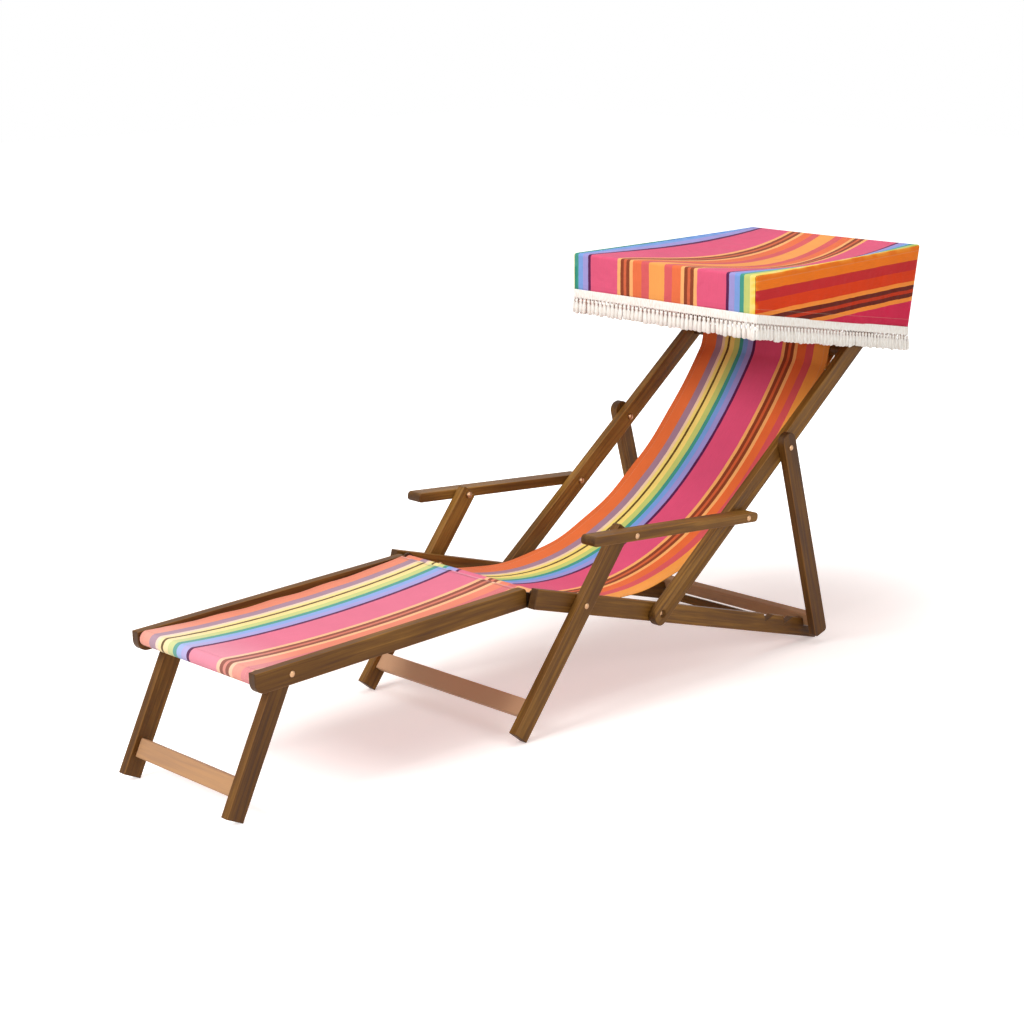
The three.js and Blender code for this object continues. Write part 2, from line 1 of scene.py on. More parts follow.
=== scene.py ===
# %% [markdown]
# # A folding deck chair, dressed for the studio
#
# The chair is already worked out in CAD: every board, bar, bolt and length of cloth has its
# place. Here each of those pieces gets the surface that the real one has: boards with softly
# rounded edges and grain, striped canvas sewn round its bars, a knotted cotton fringe, and
# small domed steel bolts. All lengths below are in metres, in the same frame as the CAD.

import math

import bmesh
import bpy
import numpy as np
from mathutils import Matrix, Vector
from mathutils.geometry import tessellate_polygon


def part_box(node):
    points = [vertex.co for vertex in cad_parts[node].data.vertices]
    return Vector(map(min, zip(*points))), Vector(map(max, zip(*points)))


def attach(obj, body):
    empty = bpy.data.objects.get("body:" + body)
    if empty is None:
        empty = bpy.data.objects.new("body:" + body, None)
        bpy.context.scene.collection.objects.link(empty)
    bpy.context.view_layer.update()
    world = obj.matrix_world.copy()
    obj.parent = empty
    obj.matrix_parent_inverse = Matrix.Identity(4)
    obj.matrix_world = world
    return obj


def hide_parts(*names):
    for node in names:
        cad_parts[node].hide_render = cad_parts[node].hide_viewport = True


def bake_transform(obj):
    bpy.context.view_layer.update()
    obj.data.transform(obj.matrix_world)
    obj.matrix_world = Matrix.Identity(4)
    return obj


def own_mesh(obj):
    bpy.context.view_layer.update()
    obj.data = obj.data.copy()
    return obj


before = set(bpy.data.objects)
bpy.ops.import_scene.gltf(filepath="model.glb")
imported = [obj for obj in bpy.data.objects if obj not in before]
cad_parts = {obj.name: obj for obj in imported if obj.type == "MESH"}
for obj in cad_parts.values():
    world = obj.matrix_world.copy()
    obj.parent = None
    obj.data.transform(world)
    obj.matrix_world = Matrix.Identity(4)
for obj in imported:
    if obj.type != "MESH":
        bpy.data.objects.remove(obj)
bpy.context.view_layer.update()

# %% [markdown]
# ## The camera
#
# The photograph was taken from beside the footrest, a little above the armrests, with a long
# lens from far away. The camera's place was found by fitting the chair's bolts, feet and rail
# ends to the picture. A camera in Blender looks along its own -Z axis, so its axes are built
# from the direction of view.

# %% Camera
camera_place = Vector((3.3153, -3.3829, 1.6184))
camera_heading = math.radians(45.28)  # from +Y towards -X
camera_fall = math.radians(14.36)
camera_roll = math.radians(-0.15)
lens_mm = 76.12  # on a sensor 36 mm wide

forward = Vector((
    -math.sin(camera_heading) * math.cos(camera_fall),
    math.cos(camera_heading) * math.cos(camera_fall),
    -math.sin(camera_fall),
))
level_right = Vector((math.cos(camera_heading), math.sin(camera_heading), 0))
level_up = level_right.cross(forward)
right = level_right * math.cos(camera_roll) + level_up * math.sin(camera_roll)
up = right.cross(forward)

camera = bpy.data.objects.new("camera", bpy.data.cameras.new("camera"))
camera.data.lens = lens_mm
camera.data.sensor_width = 36
axes = Matrix((right, up, -forward)).transposed()
camera.matrix_world = Matrix.Translation(camera_place) @ axes.to_4x4()
bpy.context.collection.objects.link(camera)
bpy.context.scene.camera = camera
print("camera", tuple(round(c, 3) for c in camera.location))

# %% [markdown]
# ## From arrays to a mesh
#
# Every new piece is a set of points worked out with numpy. Most are a grid: one ring of
# points after another, joined by four-sided faces. A grid may be closed along its rings, as
# a pipe is. Values that a material needs later, such as the direction of the grain, are kept
# on the points as attributes.

# %% Mesh helpers
chance = np.random.default_rng(7)


def grid_faces(rows, columns, ring=False, loop=False, first=0):
    """Faces between neighbours of a grid numbered row by row; a ring closes each row, a loop
    joins the last row to the first one."""
    row = np.arange(rows if loop else rows - 1)[:, None]
    column = np.arange(columns if ring else columns - 1)[None, :]
    next_row, next_column = (row + 1) % rows, (column + 1) % columns
    corners = [
        row * columns + column,
        row * columns + next_column,
        next_row * columns + next_column,
        next_row * columns + column,
    ]
    return (np.stack(corners, axis=-1).reshape(-1, 4) + first).tolist()


def make_mesh(name, points, faces, **attributes):
    """A smooth mesh object; each attribute is one number or one vector for every point."""
    mesh = bpy.data.meshes.new(name)
    mesh.from_pydata(points.tolist(), [], faces)
    for key, values in attributes.items():
        is_vector = values.ndim == 2
        layer = mesh.attributes.new(key, "FLOAT_VECTOR" if is_vector else "FLOAT", "POINT")
        field = "vector" if is_vector else "value"
        layer.data.foreach_set(field, np.ascontiguousarray(values, dtype=np.float32).ravel())
    mesh.shade_smooth()
    piece = bpy.data.objects.new(name, mesh)
    bpy.context.collection.objects.link(piece)
    return piece


def face_outwards(piece, merge=0.0, close=False):
    """Turns all normals of a closed mesh outwards; on the way it can merge points that lie on
    each other and close openings."""
    shape = bmesh.new()
    shape.from_mesh(piece.data)
    if merge > 0:
        bmesh.ops.remove_doubles(shape, verts=shape.verts, dist=merge)
    if close:
        bmesh.ops.holes_fill(shape, edges=[edge for edge in shape.edges if edge.is_boundary])
    bmesh.ops.recalc_face_normals(shape, faces=shape.faces)
    shape.to_mesh(piece.data)
    shape.free()


def lay_map(piece, name, flat_places):
    """Writes a UV map from one flat place (u, v) for each point of the mesh."""
    mesh = piece.data
    corner_points = np.empty(len(mesh.loops), dtype=np.int64)
    mesh.loops.foreach_get("vertex_index", corner_points)
    layer = mesh.uv_layers.new(name=name)
    layer.data.foreach_set("uv", flat_places[corner_points].astype(np.float32).ravel())


def unit(vectors):
    """Each vector divided by its own length."""
    return vectors / np.linalg.norm(vectors, axis=-1, keepdims=True)


def heading(angle):
    """The direction (cos, sin) of an angle, or of each angle of an array."""
    return np.stack([np.cos(angle), np.sin(angle)], axis=-1)


def lengths_along(points):
    """The distance of each point from the first one, measured along the line of points."""
    steps = np.linalg.norm(np.diff(points, axis=0), axis=1)
    return np.concatenate([[0], np.cumsum(steps)])


# %% [markdown]
# ## The timber frames
#
# The chair is four flat frames and two armrests, bolted together in layers. Each frame has
# its own axes: "along" runs with its rails towards the rear, "across" is square to them, and
# the boards' thickness runs sideways. One small class turns a place in a frame into a place
# in the chair. The frames are set out one from the other, as a joiner would do it: the legs
# and the back from their bolts in the seat rails, the armrests between legs and back.

# %% Frames
rail_width = 0.044
rail_thickness = 0.020
layer_gap = 0.0008
seat_inner = 0.213
middle_inner = seat_inner + rail_thickness + layer_gap
outer_inner = middle_inner + rail_thickness + layer_gap


class Tilted:
    """Axes tilted by a slope in degrees about the sideways direction, through an origin."""

    def __init__(self, origin, slope):
        self.origin = np.asarray(origin, float)
        self.slope = math.radians(slope)

    def at(self, along, across=0.0):
        """The chair's (y, z) of places (along, across): turned by the slope, then moved."""
        c, s = math.cos(self.slope), math.sin(self.slope)
        along, across = np.asarray(along, float), np.asarray(across, float)
        turned = np.stack([along * c - across * s, along * s + across * c], axis=-1)
        return turned + self.origin

    def locate(self, place):
        """The (along, across) of a place (y, z) of the chair."""
        c, s = math.cos(self.slope), math.sin(self.slope)
        y, z = np.asarray(place, float) - self.origin
        return np.array([y * c + z * s, z * c - y * s])


seat_slope = -16.05
seat_length = 1.021
leg_pivot_along = 0.139
back_pivot_along = 0.400
front_bar_along = 0.027

seat_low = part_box("seat_rail_left")[0]
seat_rise = rail_width / 2 * math.cos(math.radians(seat_slope))
seat_height = seat_rise - seat_length * math.sin(math.radians(seat_slope))
seat_front = seat_low[1] - rail_width / 2 * math.sin(math.radians(seat_slope))
seat = Tilted((seat_front, seat_height), seat_slope)
back = Tilted(seat.at(back_pivot_along), 37.15)
leg = Tilted(seat.at(leg_pivot_along), 51.4)

leg_arm_along = 0.1824
back_arm_along = 0.305
arm_front = leg.at(leg_arm_along)
arm_run = back.at(back_arm_along) - arm_front
arm_span = float(np.hypot(*arm_run))
arm = Tilted(arm_front, math.degrees(math.atan2(arm_run[1], arm_run[0])))

front_bar = seat.at(front_bar_along)
footrest = Tilted(front_bar, 1.5)
canopy_pivot_along = 0.905
canopy = Tilted(back.at(canopy_pivot_along), 0.7)
print("seat axes start at", seat.origin.round(4), "and the armrests span", round(arm_span, 4))

# %% [markdown]
# The prop is the frame behind the back. Its lower cross bar rests in a notch of the seat
# rails, so its slope follows from the depth of the notch: the bar's front lower corner
# touches the notch's floor. The notches are cut to suit it, one wall in line with the prop
# and a ramp square to that wall.

# %% The prop and its notches
prop_pivot_along = 0.526
prop_bar_along = 0.470
prop_bar_depth = 0.032
cross_bar_depth = 0.040
cross_bar_thickness = 0.020
notch_depth = 0.017
notch_clearance = 0.0008
notch_spacing = 0.078
spare_notches = 2

prop_pivot = back.at(prop_pivot_along)
prop_foot = prop_bar_along + prop_bar_depth / 2
corner_reach = math.hypot(prop_foot, cross_bar_thickness / 2)
prop_lift = seat.locate(prop_pivot)[1] - rail_width / 2 + notch_depth
corner_lean = math.atan2(cross_bar_thickness / 2, prop_foot)
prop_lean = math.acos(prop_lift / corner_reach) + corner_lean
prop = Tilted(prop_pivot, math.degrees(prop_lean) + seat_slope - 90)

rail_top = rail_width / 2
notch_place = seat.locate(prop.at(prop_foot, -cross_bar_thickness / 2))
notch_floor = notch_place[1] - notch_clearance
notch_foot = notch_place[0] - notch_clearance
wall_run = (rail_top - notch_floor) * math.tan(prop_lean)
ramp_run = (rail_top - notch_floor) / math.tan(prop_lean)

seat_corners = [
    (0, -rail_top),
    (seat_length, -rail_top),
    (seat_length, notch_floor),
    (notch_foot, notch_floor),
    (notch_foot - wall_run, rail_top),
]
for index in range(1, spare_notches + 1):
    place = notch_foot - index * notch_spacing
    seat_corners.append((place + ramp_run, rail_top))
    seat_corners.append((place, notch_floor))
    seat_corners.append((place - wall_run, rail_top))
seat_corners.append((0, rail_top))
print("prop leans", round(math.degrees(prop.slope), 2), "degrees,", len(seat_corners), "corners")

# %% [markdown]
# ## Boards
#
# A planed board isn't a sharp block: its long edges are eased with a small radius, its
# corners too, and years of hands and boots have polished them. A block with a Bevel
# modifier would give the form. Here the board is drawn as rings instead, because then every
# point knows how far it lies along the grain and how far round its rounded edge it lies, where
# the wood is painted lighter for wear and as a painted highlight. Each ring is the
# board's outline, drawn in by as much as the rounded edge asks for at that depth.

# %% Rounded outlines
sharp_corner = 0.0012
wide_corner = 0.003  # from this radius on, a corner's arc gets more steps
sharp_steps = 3
wide_steps = 8


def rounded_ring(corners, radii, inset):
    """The outline drawn in by "inset": each corner moves along its bisector, then gets an
    arc. The arc's points are its centre plus the radius times (cos, sin) of an angle that
    runs evenly from the one edge's normal to the other's."""
    corners = np.asarray(corners, float)
    run_in = unit(corners - np.roll(corners, 1, axis=0))
    run_out = np.roll(run_in, -1, axis=0)
    normal_in = np.stack([-run_in[:, 1], run_in[:, 0]], axis=1)
    normal_out = np.roll(normal_in, -1, axis=0)
    bisector = (normal_in + normal_out) / (1 + (normal_in * normal_out).sum(1, keepdims=True))
    moved = corners + inset * bisector
    turn = np.arctan2(
        run_in[:, 0] * run_out[:, 1] - run_in[:, 1] * run_out[:, 0],
        (run_in * run_out).sum(1),
    )
    radius = np.where(turn > 0, np.maximum(radii - inset, 5e-5), radii + inset)
    tangent = radius * np.tan(np.abs(turn) / 2)
    straight = np.linalg.norm(np.roll(moved, -1, axis=0) - moved, axis=1)
    straight = np.maximum(straight - tangent - np.roll(tangent, -1), 0)
    hold = np.minimum(0.004, 0.3 * straight)
    points = []
    for k in range(len(corners)):
        steps = sharp_steps if radii[k] < wide_corner else wide_steps
        side = np.sign(turn[k])
        start = moved[k] - run_in[k] * tangent[k]
        centre = start + side * radius[k] * normal_in[k]
        spread = np.linspace(0, turn[k], steps + 1)
        first = math.atan2(*(start - centre)[::-1])
        arc = centre + radius[k] * heading(first + spread)
        points.append(start - run_in[k] * hold[k - 1])
        points.extend(arc)
        points.append(arc[-1] + run_out[k] * hold[k])
    return np.array(points)


# %% [markdown]
# A board then stacks those rings through its thickness. The flat faces are closed with one
# many-sided face each. The attribute "grain" holds each point's place in the plank it was
# sawn from, the edge attribute is strongest on the rounded edges, which are painted lighter
# for wear and as a painted highlight, and "end_grain" marks the sawn ends.

# %% Boards
edge_radius = 0.0019
edge_steps = 4
recess_rim = 0.0006  # the recess's edge is broken by this much
dressed = "_dressed"  # ends the name of a piece that stands for the CAD node of that name
wooden = []
painted_light_tones = {  # 0 is the darkest wood, 1 the lightest; these are lightened as painted light, and above 1 a painted highlight is mixed in
    "leg_right": 1.0, "back_rail_left": 0.95, "back_rail_right": 0.9, "armrest_left": 0.7,
    "armrest_right": 0.85, "footrest_leg_right": 0.75, "leg_cross_bar": 2.0,
    "footrest_leg_cross_bar": 1.55, "prop_cross_bar": 1.6,
}


def tone_of(name, count):
    """The tone of a board for each of its points: the listed boards get a lighter tone as painted
    light, the others lie near a middle tone.
    """
    return np.full(count, painted_light_tones.get(name, chance.uniform(0.3, 0.55)))


def timber(name, body, points, faces, grain, wear, ends):
    """A wooden piece that stands for the CAD node of that name and rides on its body. The grain
    starts at a random place, so that no two pieces look sawn from the same spot."""
    piece = make_mesh(
        name + dressed, points, faces, grain=grain + chance.uniform(0, 40, 3), wear=wear,
        end_grain=ends, tone=tone_of(name, len(points)))
    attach(piece, body)
    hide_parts(name)
    wooden.append(piece)
    return piece


def board(name, tilt, corners, radii, middle, thickness, body, crosswise=False, ease=edge_radius,
          recess=None):
    """Rings of the outline at depths from one face to the other. Near a face the depth is
    ease * (1 - cos a) and the inset ease * (1 - sin a), which is a quarter circle. A recess
    (radius, depth) is sunk into the outer face, round the origin of the board's frame."""
    radii = np.maximum(np.asarray(radii, float), sharp_corner)
    angle = np.linspace(0, math.pi / 2, edge_steps + 1)
    inset = np.concatenate([[ease * 1.4], ease * (1 - np.sin(angle)), [0.0]])
    depth = np.concatenate([[0.0], ease * (1 - np.cos(angle)), [ease * 1.4]])
    edge = np.concatenate([[0.0], np.sin(2 * angle), [0.0]])
    inset = np.concatenate([inset, inset[::-1]])
    depth = np.concatenate([depth, thickness - depth[::-1]]) - thickness / 2
    edge = np.concatenate([edge, edge[::-1]])
    rings = np.array([rounded_ring(corners, radii, value) for value in inset])
    count = rings.shape[1]
    run = np.roll(rings, -1, axis=1) - np.roll(rings, 1, axis=1)
    run /= np.maximum(np.linalg.norm(run, axis=2, keepdims=True), 1e-9)
    ends = np.abs(run[:, :, 1]) * (inset < ease)[:, None]
    along, across = rings[:, :, 0].ravel(), rings[:, :, 1].ravel()
    through = np.repeat(depth, count)
    wear, ends = np.repeat(edge, count), ends.ravel()
    low_cap = list(range(count))[::-1]
    high_cap = list(range((len(inset) - 1) * count, len(inset) * count))
    faces = grid_faces(len(inset), count, ring=True)
    if recess is None:
        faces += [low_cap, high_cap]
    else:
        radius, sunk = recess
        side = math.copysign(1, middle)
        turn = np.linspace(0, 2 * math.pi, 32, endpoint=False)
        ring_radius = np.repeat([radius + recess_rim, radius, radius], len(turn))
        ring_depth = np.repeat([0.0, recess_rim, sunk], len(turn))
        rim = list(range(len(along), len(along) + len(turn)))
        faces += grid_faces(3, len(turn), ring=True, first=len(along))
        faces.append([k + 2 * len(turn) for k in rim])
        along = np.append(along, ring_radius * np.tile(np.cos(turn), 3))
        across = np.append(across, ring_radius * np.tile(np.sin(turn), 3))
        through = np.append(through, side * (thickness / 2 - ring_depth))
        wear, ends = np.append(wear, 0 * ring_depth), np.append(ends, 0 * ring_depth)
        open_cap, closed_cap = (high_cap, low_cap) if side > 0 else (low_cap, high_cap)
        loops = [[Vector((along[k], across[k], 0)) for k in loop] for loop in (open_cap, rim)]
        numbers = open_cap + rim
        faces += [[numbers[k] for k in triangle] for triangle in tessellate_polygon(loops)]
        faces.append(closed_cap)
    places = tilt.at(along, across)
    points = np.column_stack([middle + through, places])
    if crosswise:
        grain = np.column_stack([through, along - along.mean(), across])
        ends = (np.abs(through) > thickness / 2 - ease).astype(float)
    else:
        grain = np.column_stack([along, across, through])
    piece = timber(name, body, points, faces, grain, wear, ends)
    if recess is not None:
        face_outwards(piece)


def pair(name, tilt, corners, radii, inner, thickness, body, recess=None):
    """The same board on the left (+X) and on the right (-X) side of the chair."""
    for side, sign in (("left", 1), ("right", -1)):
        rides = body + "_" + side if body == "armrest" else body
        middle = sign * (inner + thickness / 2)
        board(name + "_" + side, tilt, corners, radii, middle, thickness, rides, recess=recess)


def stick(start, end, low, high):
    """The four corners of a straight board, counter-clockwise from its low start."""
    return [(start, low), (end, low), (end, high), (start, high)]


pair("seat_rail", seat, seat_corners, [0] * len(seat_corners), seat_inner, rail_thickness,
     "seat_frame")

back_tail = 0.028
back_end = 0.932
pivot_recess_radius = 0.0095
pivot_recess_depth = 0.008
pair("back_rail", back, stick(-back_tail, back_end, -rail_top, rail_top),
     [0.020, 0, 0, 0.020], middle_inner, rail_thickness, "back_frame",
     recess=(pivot_recess_radius, pivot_recess_depth))


def foot_reach(tilt):
    """How far a square-cut leg goes below its pivot until its rear corner meets the floor."""
    return (tilt.origin[1] - rail_top * math.cos(tilt.slope)) / math.sin(tilt.slope)


leg_head = 0.012
pair("leg", leg, stick(-foot_reach(leg), leg_arm_along + leg_head, -rail_top, rail_top),
     [0, 0.008, 0.008, 0], middle_inner, rail_thickness, "leg_frame")

arm_width = 0.041
arm_depth = 0.022
arm_front_reach = 0.135
arm_rear_reach = 0.034
pair("armrest", arm,
     stick(-arm_front_reach, arm_span + arm_rear_reach, -arm_depth / 2, arm_depth / 2),
     [0.009] * 4, outer_inner, arm_width, "armrest")

prop_head = 0.036
prop_end = 0.505
pair("prop", prop, stick(-prop_head, prop_end, -rail_top, rail_top),
     [0.020, 0.009, 0.009, 0.020], outer_inner, rail_thickness, "prop_frame")
print(len(wooden), "side boards")

# %% [markdown]
# The footrest is a small frame of its own. Its rails end just ahead of the seat's front bar,
# and its legs turn on rivets inside the rails.

# %% Footrest boards
bar_radius = 0.014
joint_gap = 0.0003
cloth_thickness = 0.0016
footrest_half = 0.200
footrest_inner = footrest_half - rail_thickness
footrest_rise = 0.004
footrest_behind = 0.005  # the play between the footrest's rails and the cloth on the bar
footrest_rail_length = 0.731
footrest_rear = -(bar_radius + joint_gap + cloth_thickness + footrest_behind)
footrest_front = footrest_rear - footrest_rail_length
footrest_top = footrest_rise + rail_top
pair("footrest_rail", footrest,
     stick(footrest_front, footrest_rear, footrest_rise - rail_top, footrest_top),
     [0.024, 0, 0.010, 0], footrest_inner, rail_thickness, "footrest")

footrest_pivot_from_end = 0.090
footrest_pivot_along = footrest_front + footrest_pivot_from_end
footrest_leg = Tilted(footrest.at(footrest_pivot_along, footrest_rise), 64)
footrest_leg_inner = footrest_inner - layer_gap - rail_thickness
pair("footrest_leg", footrest_leg,
     stick(-foot_reach(footrest_leg), leg_head, -rail_top, rail_top),
     [0, 0.0219, 0.0219, 0], footrest_leg_inner, rail_thickness, "footrest_leg_frame")
print(len(wooden), "boards with the footrest's")

# %% [markdown]
# Flat cross bars hold each pair of legs apart. Their grain runs from side to side, and they
# are let into the boards beside them, so their ends stay crisp.

# %% Cross bars
seat_bar_from_end = 0.040
seat_bar_rise = 0.003  # above the rails' lower edges
leg_bar_along = -0.257
footrest_leg_bar_along = -0.243
bar_corner = 0.0026
bar_end_ease = 0.0004


def cross_bar(name, tilt, along, across, depth, thickness, inner, body):
    """A flat bar between two boards: its outline is its section, its depth the chair's width."""
    corners = stick(along - depth / 2, along + depth / 2,
                    across - thickness / 2, across + thickness / 2)
    board(name, tilt, corners, [bar_corner] * 4, 0.0, 2 * (inner - joint_gap), body,
          crosswise=True, ease=bar_end_ease)


cross_bar("seat_rear_bar", seat, seat_length - seat_bar_from_end,
          seat_bar_rise + cross_bar_thickness / 2 - rail_top, cross_bar_thickness,
          cross_bar_thickness, seat_inner, "seat_frame")
cross_bar("leg_cross_bar", leg, leg_bar_along, 0.0, cross_bar_depth, cross_bar_thickness,
          middle_inner, "leg_frame")
cross_bar("prop_cross_bar", prop, prop_bar_along, 0.0, prop_bar_depth, cross_bar_thickness,
          outer_inner, "prop_frame")
cross_bar("footrest_leg_cross_bar", footrest_leg, footrest_leg_bar_along, 0.0, cross_bar_depth,
          cross_bar_thickness, footrest_leg_inner, "footrest_leg_frame")
print(len(wooden), "boards and cross bars")

# %% [markdown]
# The bars that carry cloth are round, turned from the same wood. A round bar is a circle
# carried sideways, with a small ease at each end.

# %% Round bars
bar_inset = 0.019  # of the footrest's bars, from the ends of its rails


def round_bar(name, place, half, body):
    """Circles of the bar's radius along X; at each end they shrink over a quarter circle."""
    angle = np.linspace(0, math.pi / 2, 4)
    ease = 0.0006
    out = half - joint_gap - ease * (1 - np.sin(angle))
    radius = bar_radius - ease * (1 - np.cos(angle))
    inner_steps = np.linspace(-1, 1, 9)[1:-1] * (out[0] - 0.004)
    x = np.concatenate([-out[::-1], inner_steps, out])
    radius = np.concatenate([radius[::-1], np.full(len(inner_steps), bar_radius), radius])
    around = np.linspace(0, 2 * math.pi, 40, endpoint=False)
    y = place[0] + radius[:, None] * np.cos(around)
    z = place[1] + radius[:, None] * np.sin(around)
    points = np.stack([np.broadcast_to(x[:, None], y.shape), y, z], axis=-1).reshape(-1, 3)
    faces = grid_faces(len(x), len(around), ring=True)
    faces.append(list(range(len(around)))[::-1])
    faces.append(list(range((len(x) - 1) * len(around), len(x) * len(around))))
    none = np.zeros(len(points))
    timber(name, body, points, faces, points - np.array([0, *place]), none, none)


back_top_along = 0.842
top_bar = back.at(back_top_along)
footrest_bar_across = footrest_top - bar_radius - joint_gap - cloth_thickness
footrest_bars = {
    "front": footrest.at(footrest_front + bar_inset, footrest_bar_across),
    "rear": footrest.at(footrest_rear - bar_inset, footrest_bar_across),
}
round_bar("seat_front_bar", front_bar, seat_inner, "seat_frame")
round_bar("back_top_bar", top_bar, middle_inner, "back_frame")
for end, place in footrest_bars.items():
    round_bar("footrest_" + end + "_bar", place, footrest_inner, "footrest")
print(len(wooden), "wooden pieces so far")

# %% [markdown]
# ## The canopy's own frame
#
# Under the striped cover a light frame of four sticks carries the roof. Two short uprights
# bolt it to the back rails, so the whole canopy can be tilted.

# %% Canopy frame
canopy_rise = 0.1955
canopy_front_reach = 0.455
canopy_rear_reach = 0.204
canopy_length = canopy_front_reach + canopy_rear_reach
cover_thickness = 0.002
roof_sag = 0.042
roof_sag_skew = 1.35
valance_front_drop = 0.089
valance_rear_drop = 0.201
valance_rear_slant = 0.038
canopy_rail_depth = 0.028
canopy_bar_inset = 0.011
upright_half = 0.018
frame_sag_share = 0.28  # the frame lies this much of the roof's sag below the roof's edges
canopy_inner = middle_inner - layer_gap - rail_thickness
canopy_rear_clearance = 0.0072
canopy_flare = 0.019  # how much wider than at the rear the cover is at the front, per side
canopy_rear_half = middle_inner + rail_thickness + canopy_rear_clearance + cover_thickness
canopy_front_half = canopy_rear_half + canopy_flare

frame_top = canopy_rise - cover_thickness - frame_sag_share * roof_sag - joint_gap
frame_low = frame_top - canopy_rail_depth
rear_lean = valance_rear_slant * (canopy_rise - frame_low) / valance_rear_drop
rail_front = cover_thickness + joint_gap - canopy_front_reach
rail_rear = canopy_rear_reach - cover_thickness - joint_gap - rear_lean
pair("canopy_side_rail", canopy, stick(rail_front, rail_rear, frame_low, frame_top),
     [0] * 4, middle_inner, rail_thickness, "canopy")
pair("canopy_upright", canopy,
     stick(-upright_half, upright_half, -upright_half, frame_top - 0.004),
     [0.0179, 0.0179, 0, 0], canopy_inner, rail_thickness, "canopy")
for name, along in (("canopy_front_bar", rail_front + canopy_bar_inset),
                    ("canopy_rear_bar", rail_rear - canopy_bar_inset)):
    cross_bar(name, canopy, along, (frame_low + frame_top) / 2, cross_bar_thickness,
              canopy_rail_depth, middle_inner, "canopy")

worst = 0.0
for piece in wooden:
    low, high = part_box(piece.name.removesuffix(dressed))
    mine = np.array([piece.matrix_world @ v.co for v in piece.data.vertices])
    off = max(abs(mine.min(0) - np.array(low)).max(), abs(mine.max(0) - np.array(high)).max())
    worst = max(worst, off)
print(len(wooden), "wooden pieces, at most", round(worst * 1000, 2), "mm off their CAD boxes")

# %% [markdown]
# ## Bolts, cap nuts and rivets
#
# Domed steel bolts hold the boards, with a washer under each head and a cap nut inside. All
# are turned forms, so each is a profile of (distance from the axis, place along it) spun
# round a sideways axis. The dome is a quarter ellipse.

# %% Fittings
bolt_radius = 0.004
head_radius = 0.0065
head_height = 0.0025
rim_share = 0.25  # of the head's height
dome_radius = 0.94 * head_radius
nut_radius = 0.007
nut_height = 0.008
tip_in_nut = 0.005
head_lift = 0.0002
bore_play = 0.0003
cap_rounding = 0.003
cap_wall = 0.002
fittings = []


def dome(face, direction):
    """A washer's edge, the head's rim, and a quarter ellipse from the rim to the crown."""
    seat_level = face + direction * head_lift
    rim_level = seat_level + direction * head_height * rim_share
    crown = direction * head_height * (1 - rim_share)
    profile = [(bolt_radius, seat_level), (head_radius, seat_level), (head_radius, rim_level)]
    for a in np.linspace(0, math.pi / 2, 8)[1:]:
        profile.append((dome_radius * math.cos(a), rim_level + crown * math.sin(a)))
    return profile


def spin(name, profile, place, side, body):
    """Each profile point draws a circle round the axis through "place", along X."""
    profile = np.array(profile)
    around = np.linspace(0, 2 * math.pi, 28, endpoint=False)
    radius = np.maximum(profile[:, 0], 1e-5)[:, None]
    x = np.broadcast_to(side * profile[:, 1][:, None], (len(profile), len(around)))
    y = place[0] + radius * np.cos(around)
    z = place[1] + radius * np.sin(around)
    faces = grid_faces(len(profile), len(around), ring=True)
    piece = make_mesh(name + dressed, np.stack([x, y, z], axis=-1).reshape(-1, 3), faces)
    face_outwards(piece, merge=3e-5, close=True)
    piece.data.set_sharp_from_angle(angle=math.radians(38))
    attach(piece, body)
    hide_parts(name)
    fittings.append(piece)


def bolts(name, place, inner, outer, body):
    """A bolt from outside and its cap nut inside, on both sides of the chair."""
    bore = bolt_radius + bore_play
    nut_face, nut_end = inner - head_lift, inner - head_lift - nut_height
    angle = np.linspace(0, math.pi / 2, 6)
    cap = [(nut_radius * math.sin(a), nut_end + cap_rounding * (1 - math.cos(a)))
           for a in angle]
    nut = cap + [(nut_radius, nut_face), (bore, nut_face), (bore, nut_end + cap_wall),
                 (0, nut_end + cap_wall)]
    bolt = [(0, inner - tip_in_nut), (bolt_radius, inner - tip_in_nut)] + dome(outer, 1)
    for side, sign in (("left", 1), ("right", -1)):
        spin(name + "_bolt_" + side, bolt, place, sign, body)
        spin(name + "_nut_" + side, nut, place, sign, body)


middle_outer = middle_inner + rail_thickness
bolts("leg_pivot", seat.at(leg_pivot_along), seat_inner, middle_outer, "seat_frame")
bolts("back_pivot", back.origin, seat_inner, middle_outer - pivot_recess_depth, "seat_frame")
bolts("arm_front", arm_front, middle_inner, outer_inner + arm_width, "leg_frame")
bolts("arm_rear", back.at(back_arm_along), middle_inner, outer_inner + arm_width, "back_frame")
bolts("prop_pivot", prop_pivot, middle_inner, outer_inner + rail_thickness, "back_frame")
bolts("canopy_pivot", canopy.origin, canopy_inner, middle_outer, "back_frame")
rivet = dome(footrest_leg_inner, -1)[::-1] + dome(footrest_half, 1)
for side, sign in (("left", 1), ("right", -1)):
    spin("footrest_leg_rivet_" + side, rivet, footrest_leg.origin, sign, "footrest")
print(len(fittings), "fittings")

# %% [markdown]
# ## The long sling
#
# The seat and the back are one length of deck-chair canvas. Each end is folded round a bar
# and sewn down, which makes a pocket. Between the bars it hangs in one long curve: a cubic
# curve that leaves each bar at the slope the cloth has there. A cloth simulation would give
# much the same line, but the curve follows the photograph exactly, and sewn canvas under
# tension hardly wrinkles. The sheet is a path (tail, round the bar, the curve, round the
# other bar, tail) carried sideways.

# %% The sling's path
pocket_radius = bar_radius + joint_gap + cloth_thickness / 2
landing = 0.048  # where the free curve ends and the cloth turns to the bar
sling_tail = 0.050
footrest_tail = 0.040
tail_gap = cloth_thickness + 0.0002


def turn_quarter(run):
    """The direction square to a run, on its upper side."""
    return np.stack([-run[..., 1], run[..., 0]], axis=-1)


